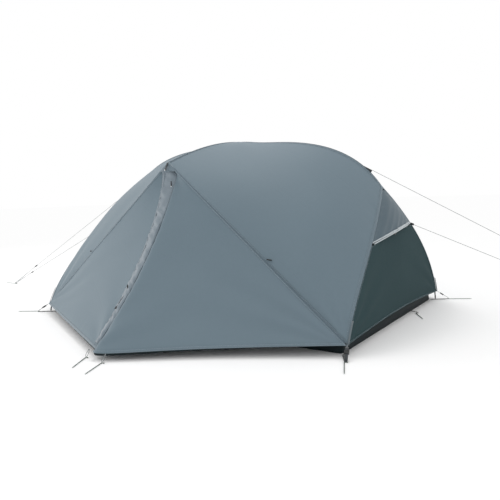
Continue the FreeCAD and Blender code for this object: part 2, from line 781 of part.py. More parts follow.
def tapered_block(inset, z0, z1):
    """A block between two levels of the tub, whose sides lean in with the tub's walls."""
    rings = []
    for z in (z0, z1):
        back = inset + tub_lean * z / tub_height
        x, y = tub_half_length - back, tub_half_width - back
        corners_at = [Vec(x, y, z), Vec(-x, y, z), Vec(-x, -y, z), Vec(x, -y, z), Vec(x, y, z)]
        rings.append(Part.makePolygon(corners_at))
    return Part.makeLoft(rings, True, True)


def inner_tent():
    outer = tapered_block(0, 0, tub_height)
    hollow = tapered_block(cloth, cloth, tub_height + 1)
    keep("floor_tub", outer.cut(hollow))

    wall = sheet(lambda u, v: inner_point(2 * u - 1, v), 16, 10)
    gap = door_clearance
    hole = rounded_prism(door_left, door_right, door_foot, door_head, door_corner, cut_far, cut_near)
    slim = rounded_prism(door_left + gap, door_right - gap, door_foot + door_sill, door_head - gap,
                         door_corner - gap, cut_far, cut_near)
    frame = wall.cut(hole)
    panel = wall.common(slim)
    keep("inner_side_front", frame)
    keep("inner_side_rear", half_turn(frame))
    keep("inner_door_front", panel)
    keep("inner_door_rear", half_turn(panel))

    def end_point(u, v):
        a = inner_point(1, v * end_top, -1, end_shrink)
        b = inner_point(1, v * end_top, 1, end_shrink)
        return mix(a, b, u) + Vec(cloth + inner_end_gap, 0, 0)

    end = sheet(end_point, 6, 8)
    keep("inner_end_a", end)
    keep("inner_end_b", half_turn(end))


def inner_clips():
    """Hooks that hang the inner from the ridge pole and the legs."""
    for t in ridge_clips:
        for sign in (1, -1):
            hang_clip(lambda s, c=sign * t: ridge_curve(c + s / ridge_run), Vec(0, 0, -1), ridge_clip_reach)
    for t in leg_clips:
        for sy in (1, -1):
            for sx in (1, -1):
                def near(s, t=t, sx=sx, sy=sy):
                    return leg_curve(t + s / leg_run, sx, sy)
                hang_clip(near, Vec(-sx, 0, 0), leg_clip_reach)


def hang_clip(curve, way, reach):
    at = curve(0)
    along = unit(curve(4) - curve(-4))
    way = unit(way - along * way.dot(along))
    half = along * clip_half_length
    body = cylinder_between(at - half, at + half, pole_radius + clip_wall)
    body = body.fuse(strip(at, at + way * reach, clip_tab_width, clip_tab_thickness, along.cross(way)))
    body = body.cut(rod_along(curve, -2 * clip_half_length, 2 * clip_half_length, pole_bore, 2))
    keep("inner_clips", max(body.Solids, key=lambda s: s.Volume))


def peg(hook, turn):
    """A wire peg lying on the ground, hooked round the point hook, its shank away along turn in degrees."""
    way = direction(turn)
    side = Vec(-way.y, way.x, 0)
    centre = Vec(hook.x, hook.y, peg_radius + ground_gap)
    r = peg_hook_radius
    start = centre - side * r
    tip = centre + side * r
    end = start + way * (peg_length - peg_point_length)
    edges = [Part.Arc(tip, centre - way * r, start).toShape(), Part.LineSegment(start, end).toShape()]
    ring = Part.Wire(Part.makeCircle(peg_radius, tip, way * -1))
    wire = Part.Wire(edges).makePipeShell([ring], True, False)
    point = cylinder_between(end, end + way * peg_point_length, peg_radius, peg_point_radius)
    return wire.fuse(point)


def peg_spot(name):
    sx = 1 if name[0] == "a" else -1
    sy = -1 if name.endswith("front") else 1
    foot = Vec(sx * half_length, sy * half_width, 0)
    return foot, foot + direction(peg_corner_turn[name]) * strap_reach, sx, sy


def corners():
    for name in peg_corner_turn:
        foot, spot, sx, sy = peg_spot(name)
        keep("pegs", peg(spot, peg_corner_turn[name]))
        way = unit(spot - foot)
        flat = Vec(0, 0, strap_thickness / 2 + strap_gap)
        tub_corner = Vec(sx * (tub_half_length + 1), sy * (tub_half_width + 1), 0)
        end = spot - way * (peg_hook_radius + strap_stop)
        web = strip(tub_corner + flat, end + flat, strap_width, strap_thickness, Vec(0, 0, 1))
        keep("tub_straps", web)
        top = Vec(sx * (half_length + cover + strap_hem_out), sy * (half_width + cover + strap_hem_out),
                  hem_height - strap_hem_drop)
        low = spot - way * peg_radius + Vec(0, 0, 2 * peg_radius + strap_clearance)
        up = Vec(way.x, way.y, strap_tilt)
        keep("fly_straps", strip(top, low, strap_width, strap_thickness, up))
        seat = mix(top, low, lock_seat)
        along = unit(low - top)
        shell = strip(seat - along * lock_length / 2, seat + along * lock_length / 2, lock_width,
                      strap_thickness + 2 * (lock_fit + lock_wall), up)
        slot = strip(seat - along * lock_length, seat + along * lock_length, strap_width + 2 * lock_fit,
                     strap_thickness + 2 * lock_fit, up)
        keep("ladder_lock_" + name, shell.cut(slot))
        print("ladder lock", name, [round(c, 4) for c in along])
        off = Vec(sx, sy, 0) * (cloth + seam_strap_gap)
        climb = [leg_seam(z, sx, sy) + off for z in (hem_height, hem_height + strap_rise)]
        keep("fly_straps", strip(climb[0], climb[1], strap_width, strap_thickness, Vec(sx, sy, 0.4)))


def side_pegs():
    for hem, turn in ((loop_hem, door_a_peg_turn), (zip_hem, door_b_peg_turn)):
        keep("pegs", *with_half_turn(peg(hem + direction(turn) * hem_loop_end, turn)))
    hook = Vec(half_length + end_peg_out, end_peg_y - end_peg_back, 0)
    keep("pegs", *with_half_turn(peg(hook, end_peg_turn)))
    near = Vec(tub_half_length + end_loop_gap, end_peg_y, end_loop_height)
    loop = cord_loop(near, hook + Vec(-1, 2, end_loop_rest), end_loop_half_width, loop_cord_radius)
    keep("end_loops", *with_half_turn(loop))


def with_half_turn(shape):
    return shape, half_turn(shape)


def guy_ends():
    """Where the guys of end a leave the tent, as (upper, lower), and the peg's hook."""
    peg_hook = Vec(guy_peg_x, guy_peg_y, 0)
    ridge_point = ridge_seam(upper_guy_x) + Vec(cover, 0, cover)
    edge_point = hood_point(lower_guy_at, 1) + lower_guy_stand
    return ridge_point, edge_point, peg_hook


def guy_points():
    """Webbing patch astride the ridge seam for the upper guy, and a tab at the vent's edge for the lower."""
    upper, lower, hook = guy_ends()
    way = unit(hook - upper)
    base = ridge_seam(upper_guy_x)
    slope = unit(ridge_seam(upper_guy_x + 20) - ridge_seam(upper_guy_x - 20))
    normal = unit(Vec(-slope.z, 0, slope.x))
    low = base + normal * (cloth / 2 + patch_gap) - slope * patch_length / 2
    high = low + slope * patch_length
    apex = upper + way * patch_stand
    outline = Part.Face(Part.makePolygon([low, high, apex, low]))
    fin = outline.extrude(Vec(0, strap_thickness, 0))
    fin.translate(Vec(0, -strap_thickness / 2, 0))
    keep("guy_points", *with_half_turn(fin))
    tab_end = lower + unit(hook - lower) * lower_tab_length
    tab = strip(lower, tab_end, lower_tab_width, strap_thickness, Vec(0, 1, 0.2))
    keep("guy_points", *with_half_turn(tab))
    return apex, tab_end, hook


def guy_route(start, hook, above):
    """Control points of one guy, taut to the peg, round its hook and back to the runner."""
    level = hook + Vec(0, 0, 2 * peg_radius + guy_radius + above)
    ahead = unit(Vec(level.x - start.x, level.y - start.y, 0)) * loop_half_width
    side = unit(Vec(0, 0, 1).cross(ahead)) * loop_half_width
    near = level + ahead + side
    far = level + ahead - side
    way = unit(near - start)
    back = near - way * runner_back
    return [start + way * guy_start, near, far, back - side * guy_spread + Vec(0, 0, guy_lift)]


def guys():
    apex, tab, hook = guy_points()
    keep("guy_pegs", *with_half_turn(peg(hook, guy_peg_turn)))
    for name, start, above in (("upper", apex, upper_loop_height), ("lower", tab, lower_loop_height)):
        points = guy_route(start, hook, above)
        edges = []
        radii = []
        turned = []
        for i in range(1, len(points) - 1):
            before, after = points[i - 1] - points[i], points[i + 1] - points[i]
            turn = math.pi - before.getAngle(after)
            radius = guy_bend * min(before.Length, after.Length) / math.tan(turn / 2)
            radii.append(round(radius, 1))
            cut = radius * math.tan(turn / 2)
            a, b = points[i] + unit(before) * cut, points[i] + unit(after) * cut
            inner = unit(unit(before) + unit(after))
            centre = points[i] + inner * (radius / math.cos(turn / 2))
            turned.append((a, centre - inner * radius, b))
        here = points[0]
        for a, middle, b in turned:
            edges.append(Part.LineSegment(here, a).toShape())
            edges.append(Part.Arc(a, middle, b).toShape())
            here = b
        edges.append(Part.LineSegment(here, points[-1]).toShape())
        route = Part.Wire(edges)
        ring = Part.Wire(Part.makeCircle(guy_radius, points[0], points[1] - points[0]))
        cord = route.makePipeShell([ring], True, False)
        share = cord.Volume / (math.pi * guy_radius ** 2 * route.Length)
        print("guy", name, "length", round(route.Length), "arc radii", radii)
        print("volume over section x length", round(share, 4))
        print("points", [tuple(round(c, 1) for c in p) for p in points])
        keep("guy_" + name + "_a", cord)
        keep("guy_" + name + "_b", half_turn(cord))
        way = unit(points[1] - points[0])
        seat = points[1] - way * (runner_back + runner_length / 2 + runner_gap)
        half = way * (runner_length / 2)
        bore = guy_radius + runner_fit
        bar = strip(seat - half, seat + half, runner_width, 2 * (bore + runner_wall), Vec(0, 0, 1))
        bar = bar.cut(cylinder_between(seat - half * 2, seat + half * 2, bore))
        keep("runner_" + name + "_a", bar)
        keep("runner_" + name + "_b", half_turn(bar))
        print("runner", name, "axis", [round(c, 5) for c in way])


stages = (pole_frame, hubs_and_tips, canopy, doors, zip_sliders, toggles, apex_patches, end_walls,
          inner_tent, inner_clips, corners, side_pegs, guys)
for build in stages:
    build()

os.makedirs("parts", exist_ok=True)
for name in sorted(solids):
    made = Part.makeCompound(solids[name]) if len(solids[name]) > 1 else solids[name][0]
    made.exportStep("parts/" + name + ".step")
    print(name, len(made.Solids), round(made.Volume / 1000, 2), made.isValid())
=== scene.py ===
import math

import bmesh
import bpy
from mathutils import Matrix, Vector, noise


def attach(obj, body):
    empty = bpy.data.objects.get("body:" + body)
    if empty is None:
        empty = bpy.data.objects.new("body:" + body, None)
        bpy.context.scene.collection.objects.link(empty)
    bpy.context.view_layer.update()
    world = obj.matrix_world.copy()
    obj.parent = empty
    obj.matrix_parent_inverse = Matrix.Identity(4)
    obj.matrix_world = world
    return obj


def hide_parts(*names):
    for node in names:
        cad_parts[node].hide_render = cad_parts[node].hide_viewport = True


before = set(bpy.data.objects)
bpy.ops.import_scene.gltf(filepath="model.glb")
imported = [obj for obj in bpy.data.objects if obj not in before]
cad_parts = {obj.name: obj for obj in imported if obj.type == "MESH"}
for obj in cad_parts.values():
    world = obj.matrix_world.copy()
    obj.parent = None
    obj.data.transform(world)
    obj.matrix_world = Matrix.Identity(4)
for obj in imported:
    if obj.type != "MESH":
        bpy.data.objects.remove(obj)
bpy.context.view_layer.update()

# A pitched two-person trekking tent. Metres, origin on the ground at the middle, +X the end "a", -Y the front
# porch. The rear is the front after half a turn about Z, so most pieces are made once and turned.

fly = {                       # where the flysheet's seams run, as the pole frame and the cut set them
    "halfLength": 1.075, "halfWidth": 0.740, "ridgeHeight": 1.062, "hubHeight": 0.740,
    "crownHeight": 1.088, "crossReach": 0.685, "crossTipHeight": 0.933,
    "porchReach": 1.296, "hemHeight": 0.055, "doorHemHeight": 0.038,
    "ridgePower": 3.31, "legPower": 1.52, "arcPower": 1.7, "bulge": 0.034,
    "cover": 0.007, "hubCover": 0.017,            # cloth outside the poles, and outside the hubs
    "zipX": 0.050, "zipTopY": 0.668, "zipTopZ": 0.862, "zipSag": 0.056, "zipHalfGap": 0.0043,
    "doorTopX": 0.062, "loopX": 0.140,
    "ventLow": 0.478, "ventHigh": 0.546, "hoodBulge": 0.030, "hoodArch": 0.014, "hoodSwell": 0.012,
    "hemArch": 0.026,
    "loopReach": 0.038, "loopRest": 0.010,        # peg loops of the doors
    "loopTurns": {1: -67, -1: -61},               # degrees from +X
    "cloth": 0.0009,                              # thicker than the real 0.1 mm, so that both faces render
}


def mix(a, b, t):
    return a * (1 - t) + b * t


# curves and surfaces of the flysheet
def superX(z):
    return fly["halfLength"] * (1 - (z / fly["ridgeHeight"]) ** fly["ridgePower"]) ** (1 / fly["ridgePower"])


def superZ(x):
    share = abs(x) / fly["halfLength"]
    return fly["ridgeHeight"] * (1 - share ** fly["ridgePower"]) ** (1 / fly["ridgePower"])


hubX = superX(fly["hubHeight"])
headPoint = Vector((0, -fly["crossReach"], fly["crossTipHeight"]))


def ridgeSeam(x):
    bump = (fly["crownHeight"] - fly["ridgeHeight"] - fly["cover"]) * math.exp(-(x / 0.15) ** 2)
    rise = (abs(x) / hubX) ** 6
    out = mix(Vector((0, 0, fly["cover"] + bump)),
              Vector((math.copysign(fly["hubCover"], x), 0, fly["hubCover"])), rise)
    return Vector((x, 0, superZ(x))) + out


def legSeam(z, sx, sy):
    rise = (z / fly["hubHeight"]) ** 6
    out = mix(Vector((sx * fly["cover"], sy * fly["cover"], 0)),
              Vector((sx * fly["hubCover"], 0, fly["hubCover"])), rise)
    y = fly["halfWidth"] * (1 - (z / fly["hubHeight"]) ** fly["legPower"])
    return Vector((sx * superX(z), sy * y, z)) + out


def crossSeam(v):
    drop = fly["crownHeight"] - fly["crossTipHeight"]
    return Vector((0, -v * fly["crossReach"], fly["crownHeight"] - drop * v ** fly["arcPower"]))


def hemCorner(sx):
    return Vector((sx * (fly["halfLength"] + fly["cover"]), -fly["halfWidth"] - fly["cover"], fly["hemHeight"]))


def doorSeam(t, sx):
    return mix(headPoint, hemCorner(sx), t)


def coons(top, foot, left, right):
    def point(u, v):
        ruled = mix(top(u), foot(u), v) + mix(left(v), right(v), u)
        return ruled - mix(mix(top(0), top(1), u), mix(foot(0), foot(1), u), v)
    return point


def roofQuarter(sx):
    out = Vector((sx * 0.5, -1, 0.9)).normalized()
    flat = coons(lambda u: ridgeSeam(sx * u * hubX), lambda u: doorSeam(u, sx), crossSeam,
                 lambda v: legSeam(mix(fly["hubHeight"], fly["hemHeight"], v), sx, -1))
    return lambda u, v: flat(u, v) + out * (fly["bulge"] * math.sin(math.pi * u) * math.sin(math.pi * v))


zipFoot = Vector((fly["zipX"], -fly["porchReach"], fly["doorHemHeight"]))
zipHead = Vector((fly["zipX"], -fly["zipTopY"], fly["zipTopZ"]))
zipChord = zipHead - zipFoot
zipOut = Vector((0, -zipChord.z, zipChord.y)) / zipChord.length
zipRadius = (zipChord.length / 2) ** 2 / (2 * fly["zipSag"]) + fly["zipSag"] / 2
zipCentre = (zipFoot + zipHead) / 2 + zipOut * (zipRadius - fly["zipSag"])
zipStart = math.atan2(zipFoot.z - zipCentre.z, zipFoot.y - zipCentre.y)
zipSweep = math.atan2(zipHead.z - zipCentre.z, zipHead.y - zipCentre.y) - zipStart


def zipLine(v, shift=0.0, lift=0.0):
    turn = zipStart + zipSweep * (1 - v)
    reach = zipRadius - lift
    return zipCentre + Vector((shift, reach * math.cos(turn), reach * math.sin(turn)))


def doorSurface(sx):
    startT = fly["doorTopX"] / hemCorner(1).x
    bend = Vector((fly["loopX"], -fly["porchReach"] - 0.020, fly["doorHemHeight"] - 0.002))
    kink = 0.125                                  # the peg loop's place along the hem of door a

    def zipEdge(v):
        return zipLine(v, sx * fly["zipHalfGap"])

    def seamEdge(v):
        return doorSeam(mix(startT, 1, v), sx)

    def hemEdge(u):
        straight = mix(zipEdge(1), seamEdge(1), u)
        if sx < 0:
            return straight
        pull = bend - mix(zipEdge(1), seamEdge(1), kink)     # the peg loop draws the hem out
        return straight + pull * (u / kink * math.exp(1 - u / kink) * (1 - u ** 6))

    return coons(lambda u: mix(zipEdge(0), seamEdge(0), u), hemEdge, zipEdge, seamEdge)


def wholeDoor(sx):
    # the door with its head carried up to the apex, under the patch
    door = doorSurface(sx)
    headShare = 0.075
    apexZip, apexSeam = doorSeam(0.004, sx) + Vector((0, 0.001, -0.004)), doorSeam(0.004, sx)

    def point(u, v):
        if v >= headShare:
            return door(u, (v - headShare) / (1 - headShare))
        return mix(mix(apexZip, apexSeam, u), door(u, 0), v / headShare)
    return point


def endSpan(zFront, zRear, u):
    return mix(legSeam(zFront, 1, -1), legSeam(zRear, 1, 1), u)


def endPanel(u, v):
    lip = 0.012                                   # the panel stops this far below the hood's edge
    low, high = fly["ventLow"] - lip, fly["ventHigh"] - lip
    arch = Vector((0, 0, fly["hoodArch"] * math.sin(math.pi * u) * v))
    arch.z += fly["hemArch"] * math.sin(math.pi * u) * (1 - v) ** 3
    return endSpan(mix(fly["hemHeight"], low, v), mix(fly["hemHeight"], high, v), u) + arch


def ventHood(u, v):
    top = fly["hubHeight"] - 0.010
    flare = math.sin(math.pi * u) ** 0.8 * v ** 1.3
    reach = Vector((fly["hoodBulge"], 0, fly["hoodArch"])) * flare
    reach.x += fly["hoodSwell"] * math.sin(math.pi * u) * math.sin(math.pi * v)
    return endSpan(mix(top, fly["ventLow"], v), mix(top, fly["ventHigh"], v), u) + reach


doorB = wholeDoor(-1)


flap = {"top": 0.092, "foot": 0.050,              # widths
        "start": 0.012, "run": 0.963,             # where it lies along the door's edge
        "stand": 0.0040, "swell": 0.0085, "over": 0.010}


def stormFlap(u, v):
    # u from the free edge over the zip to the sewn edge, v from head to foot
    along = flap["start"] + v * flap["run"]
    edge = doorB(0, along)
    across = doorB(1, along) - edge
    wide = across.length
    reach = min(mix(flap["top"], flap["foot"], v), wide * 0.97)
    lift = (doorB(0.02, along) - edge).cross(doorB(0, along + 0.02) - edge).normalized()
    if lift.y > 0:
        lift = -lift
    swell = flap["swell"] * math.sin(math.pi * min(1, u) ** 0.6) ** 0.8 * min(1, v * 14 + 0.1)
    share = (u * (reach + flap["over"]) - flap["over"]) / wide
    ground = doorB(max(share, 0), along) + across / wide * min(share, 0) * wide
    return ground + lift * (flap["stand"] + swell)


# cloth with its folds
def foldedCloth(surface, out, folds):
    # a function of u, v and lift that gives the cloth's points, with its folds
    widths = [(surface(1, v) - surface(0, v)).length for v in (0, 1)]
    lengths = [(surface(u, 1) - surface(u, 0)).length for u in (0, 1)]
    out = Vector(out).normalized()

    def runs(u, v):
        return mix(widths[0], widths[1], v), mix(lengths[0], lengths[1], u)

    def depth(u, v, place):
        width, length = runs(u, v)
        across, down = u * width, v * length
        sides = ((across, down), (width - across, down), (down, across), (length - down, across))
        seed = folds["seed"]
        total = folds.get("sway", 0) * noise.noise(place * folds.get("swayPitch", 3.0) + Vector((seed, 0, 0)))
        ripple = Vector((across * folds.get("rippleAcross", 9), down * 2.2, seed + 5))
        total += folds.get("ripple", 0) * noise.noise(ripple)
        slant = Vector((down * 34 + across * 30, across * 9 - down * 4, seed + 9))
        total += folds.get("slant", 0) * noise.noise(slant)
        for number, (far, along) in enumerate(sides):
            reach = folds.get("puckerReach", 0.020)
            wave = noise.noise(Vector((along / folds.get("puckerPitch", 0.030), number * 7.3, seed)))
            total += folds.get("pucker", 0) * wave * far / reach * math.exp(1 - far / reach)
        for cu, cv, height, count, reach in folds.get("pulls", ()):
            dx, dy = (u - cu) * width, (v - cv) * length
            far = math.hypot(dx, dy)
            turn = math.atan2(dy, dx) if far > 1e-6 else 0.0
            wave = math.cos(count * turn + 1.7 * noise.noise(Vector((far * 3, seed, count))))
            total += height * wave * far / reach * math.exp(1 - far / reach)
        return total * min(1.0, min(far for far, along in sides) / folds.get("held", 0.025))

    def point(u, v, lift=0.0):
        e = 0.004
        du = surface(min(u + e, 1), v) - surface(max(u - e, 0), v)
        dv = surface(u, min(v + e, 1)) - surface(u, max(v - e, 0))
        normal = du.cross(dv)
        if normal.length < 1e-9:
            normal = out.copy()
        normal.normalize()
        if normal.dot(out) < 0:
            normal.negate()
        place = surface(u, v)
        return place + normal * (depth(u, v, place) + lift)

    point.runs = runs
    return point


def placed(name, data):
    thing = bpy.data.objects.new(name, data)
    bpy.context.scene.collection.objects.link(thing)
    return thing


def newPiece(name, mesh, material):
    for face in mesh.polygons:
        face.use_smooth = True
    mesh.materials.append(material)
    return placed(name, mesh)


def plainMesh(thing):
    # the object as its modifiers leave it
    graph = bpy.context.evaluated_depsgraph_get()
    return bpy.data.meshes.new_from_object(thing.evaluated_get(graph))


def lineCurve(name, lines, kind="POLY"):
    curve = bpy.data.curves.new(name, "CURVE")
    curve.dimensions = "3D"
    for points in lines:
        spline = curve.splines.new(kind)
        spline.points.add(len(points) - 1)
        for control, p in zip(spline.points, points):
            control.co = (*p, 1.0)
        if kind == "NURBS":
            spline.order_u = 3
    return curve


def rightWayOut(mesh):
    shape = bmesh.new()
    shape.from_mesh(mesh)
    bmesh.ops.recalc_face_normals(shape, faces=shape.faces)
    shape.to_mesh(mesh)
    shape.free()


def clothPiece(name, point, cells, material, thickness=fly["cloth"]):
    # a closed sheet: two skins and a rim; its UV map is the cut, in metres, so that the weave keeps its size
    columns, rows = cells
    spots = [[(i / columns, j / rows) for j in range(rows + 1)] for i in range(columns + 1)]
    skins = [[[point(u, v, side * thickness / 2) for u, v in line] for line in spots] for side in (1, -1)]
    face = skins[0]
    corner = face[0][0]
    ways = [face[columns][rows // 2] - face[0][rows // 2], face[columns // 2][rows] - face[columns // 2][0]]
    warp, weft = sorted(ways, key=lambda way: -way.length)
    warp = warp.normalized()                      # the warp runs along the panel's longer middle
    weft = (weft - warp * weft.dot(warp)).normalized()
    points = [p for skin in skins for line in skin for p in line]
    size = (columns + 1) * (rows + 1)

    def at(side, i, j):
        return side * size + i * (rows + 1) + j

    faces = []
    for i in range(columns):
        for j in range(rows):
            faces.append((at(0, i, j), at(0, i + 1, j), at(0, i + 1, j + 1), at(0, i, j + 1)))
            faces.append((at(1, i, j), at(1, i, j + 1), at(1, i + 1, j + 1), at(1, i + 1, j)))
    rim = [(i, 0) for i in range(columns)] + [(columns, j) for j in range(rows)]
    rim += [(i, rows) for i in range(columns, 0, -1)] + [(0, j) for j in range(rows, 0, -1)]
    for a, b in zip(rim, rim[1:] + rim[:1]):
        faces.append((at(0, *b), at(0, *a), at(1, *a), at(1, *b)))
    mesh = bpy.data.meshes.new(name)
    mesh.from_pydata(points, [], faces)
    layer = mesh.uv_layers.new(name="cut")
    for loop in mesh.loops:
        away = mesh.vertices[loop.vertex_index].co - corner
        layer.data[loop.index].uv = (away.dot(warp), away.dot(weft))
    rightWayOut(mesh)
    return newPiece(name, mesh, material)


def ringsPiece(name, rings, material, capped=True):
    # a skin over rings of points, one after another, closed at its ends; its UV map runs along and around
    count = len(rings[0])
    points = [p for ring in rings for p in ring]
    faces, uvs = [], []
    far = [0.0]
    for a, b in zip(rings, rings[1:]):
        far.append(far[-1] + (b[0] - a[0]).length)
    around = [0.0]
    for k in range(count):
        around.append(around[-1] + (rings[0][(k + 1) % count] - rings[0][k]).length)
    for i in range(len(rings) - 1):
        j = i + 1
        for k in range(count):
            m = (k + 1) % count
            faces.append((i * count + k, i * count + m, j * count + m, j * count + k))
            uvs += [(far[i], around[k]), (far[i], around[k + 1]), (far[j], around[k + 1]), (far[j], around[k])]
    if capped:
        for first, order in ((0, range(count - 1, -1, -1)), ((len(rings) - 1) * count, range(count))):
            faces.append([first + k for k in order])
            uvs += [(around[k], 0.0) for k in order]
    mesh = bpy.data.meshes.new(name)
    mesh.from_pydata(points, [], faces)
    layer = mesh.uv_layers.new(name="cut")
    for loop, uv in zip(layer.data, uvs):
        loop.uv = uv
    rightWayOut(mesh)
    return newPiece(name, mesh, material)


def bandRing(middle, side, out, width, thickness):
    # section of a flat band with rounded edges
    w, t = width / 2, thickness / 2
    outline = ((-w, 0), (-w * 0.93, t), (0, t), (w * 0.93, t), (w, 0), (w * 0.93, -t), (0, -t), (-w * 0.93, -t))
    return [middle + side * a + out * b for a, b in outline]


def spotOn(point, edge, t, inset):
    width, length = point.runs(*((0.5, t) if edge[0] == "u" else (t, 0.5)))
    share = inset / (width if edge[0] == "u" else length)
    share = share if edge[1] == "0" else 1 - share
    return (share, t) if edge[0] == "u" else (t, share)


def edgeBand(name, point, edge, inset, width, thickness, material, lift=0.0, span=(0.0, 1.0), step=0.012):
    # a band sewn along one edge of a cloth: edge is "u0", "u1", "v0" or "v1", and inset runs from it to the
    # band's middle
    def at(t, far, height=lift):
        return point(*spotOn(point, edge, t, far), height)

    count = max(4, round((at(span[1], inset, 0.0) - at(span[0], inset, 0.0)).length / step))
    rings = []
    for i in range(count + 1):
        t = mix(span[0], span[1], i / count)
        near, far = at(t, max(inset - width / 2, 0)), at(t, inset + width / 2)
        out = (at(t, inset, lift + 0.01) - at(t, inset)).normalized()
        rings.append(bandRing((near + far) / 2, (far - near).normalized(), out, width, thickness))
    return ringsPiece(name, rings, material)


def joined(name, pieces):
    # one object from several, which are removed
    shape = bmesh.new()
    for piece in pieces:
        shape.from_mesh(piece.data)
    mesh = bpy.data.meshes.new(name)
    shape.to_mesh(mesh)
    shape.free()
    material = pieces[0].data.materials[0]
    for piece in pieces:
        bpy.data.objects.remove(piece)
    return newPiece(name, mesh, material)


def turned(piece, name):
    # the same piece on the opposite side of the tent
    mesh = piece.data.copy()
    mesh.transform(Matrix.Rotation(math.pi, 4, "Z"))
    return placed(name, mesh)


# finishes
def linear(code):
    # sRGB hex to the linear colour that shaders use
    parts = [int(code[i:i + 2], 16) / 255 for i in (1, 3, 5)]
    return [*(c / 12.92 if c <= 0.04045 else ((c + 0.055) / 1.055) ** 2.4 for c in parts), 1.0]


def addNode(tree, kind, settings=None, links=None):
    # adds a node; links maps its inputs to numbers, colours or other nodes' outputs
    node = tree.nodes.new(kind)
    for name, value in (settings or {}).items():
        setattr(node, name, value)
    for name, value in (links or {}).items():
        if isinstance(value, bpy.types.NodeSocket):
            tree.links.new(value, node.inputs[name])
        else:
            node.inputs[name].default_value = value
    return node


def newMaterial(name, shader):
    # a material with a Principled shader whose constant sockets are set from shader
    material = bpy.data.materials.new(name)
    material.use_nodes = True
    tree = material.node_tree
    surface = tree.nodes["Principled BSDF"]
    for socket, value in shader.items():
        surface.inputs[socket].default_value = value
    return material, tree, surface


def wovenCloth(name, look):
    # woven cloth; look: colour, tone (darker yarn), thread (metres), weave and slub (bump), rough, sheen
    material, tree, surface = newMaterial(name, {
        "Roughness": look["rough"], "Sheen Weight": look["sheen"], "Sheen Roughness": 0.45,
        "Specular IOR Level": look.get("gloss", 0.35)})
    where = addNode(tree, "ShaderNodeUVMap", {"uv_map": "cut"}).outputs[0]
    place = addNode(tree, "ShaderNodeTexCoord").outputs["Object"]
    threads = []
    for axis in "XY":                              # warp and weft: one wave across each
        threads.append(addNode(tree, "ShaderNodeTexWave", {"bands_direction": axis, "wave_profile": "SIN"}, {
            "Vector": where, "Scale": 0.05 / look["thread"], "Distortion": 0.6, "Detail": 1.0}).outputs["Fac"])
    weave = addNode(tree, "ShaderNodeMath", {"operation": "MULTIPLY"},
                    {0: threads[0], 1: threads[1]}).outputs[0]
    cloudy = addNode(tree, "ShaderNodeTexNoise", None,
                     {"Vector": place, "Scale": 2.4, "Detail": 4.0}).outputs["Fac"]
    slub = addNode(tree, "ShaderNodeTexNoise", None,
                   {"Vector": place, "Scale": 60.0, "Detail": 3.0}).outputs["Fac"]
    fine = addNode(tree, "ShaderNodeMath", {"operation": "MULTIPLY"}, {0: slub, 1: 0.3}).outputs[0]
    shade = addNode(tree, "ShaderNodeMath", {"operation": "MULTIPLY_ADD"},
                    {0: cloudy, 1: 0.7, 2: fine}).outputs[0]
    colour = addNode(tree, "ShaderNodeMix", {"data_type": "RGBA"},
                     {"Factor": shade, 6: linear(look["tone"]), 7: linear(look["colour"])}).outputs[2]
    tree.links.new(colour, surface.inputs["Base Color"])
    height = addNode(tree, "ShaderNodeMath", {"operation": "MULTIPLY_ADD"},
                     {0: slub, 1: look["slub"], 2: weave}).outputs[0]
    bump = addNode(tree, "ShaderNodeBump", None,
                   {"Height": height, "Strength": look["weave"], "Distance": look["thread"] * 0.35}).outputs[0]
    if look.get("crease"):                         # lines left by folding the tent into its bag
        split = addNode(tree, "ShaderNodeSeparateXYZ", None, {0: where})
        lines = []
        for out, spacing in (("X", 0.27), ("Y", 0.31)):
            swing = addNode(tree, "ShaderNodeMath", {"operation": "PINGPONG"},
                            {0: split.outputs[out], 1: spacing / 2}).outputs[0]
            lines.append(addNode(tree, "ShaderNodeMapRange", {"interpolation_type": "SMOOTHSTEP"},
                                 {"Value": swing, "From Min": 0.0, "From Max": 0.007}).outputs[0])
        both = addNode(tree, "ShaderNodeMath", {"operation": "MULTIPLY"}, {0: lines[0], 1: lines[1]}).outputs[0]
        bump = addNode(tree, "ShaderNodeBump", None, {
            "Height": both, "Strength": look["crease"], "Distance": 0.0012, "Normal": bump}).outputs[0]
    tree.links.new(bump, surface.inputs["Normal"])
    return material


def speckled(name, look):
    # moulded, drawn or painted finish; look: colour, tone, grain (metres), depth of bump, rough, metal, coat
    material, tree, surface = newMaterial(name, {
        "Metallic": look.get("metal", 0.0), "Coat Weight": look.get("coat", 0.0)})
    place = addNode(tree, "ShaderNodeTexCoord").outputs["Object"]
    grain = addNode(tree, "ShaderNodeTexNoise", None, {
        "Vector": place, "Scale": 0.5 / look["grain"], "Detail": 4.0, "Roughness": 0.6}).outputs["Fac"]
    wear = addNode(tree, "ShaderNodeTexNoise", None,
                   {"Vector": place, "Scale": 14.0, "Detail": 5.0}).outputs["Fac"]
    colour = addNode(tree, "ShaderNodeMix", {"data_type": "RGBA"},
                     {"Factor": wear, 6: linear(look["tone"]), 7: linear(look["colour"])}).outputs[2]
    tree.links.new(colour, surface.inputs["Base Color"])
    rough = addNode(tree, "ShaderNodeMapRange", None, {
        "Value": grain, "To Min": look["rough"] - 0.08, "To Max": look["rough"] + 0.12}).outputs[0]
    tree.links.new(rough, surface.inputs["Roughness"])
    bump = addNode(tree, "ShaderNodeBump", None, {
        "Height": grain, "Strength": look["depth"], "Distance": look["grain"] * 0.3}).outputs[0]
    tree.links.new(bump, surface.inputs["Normal"])
    return material


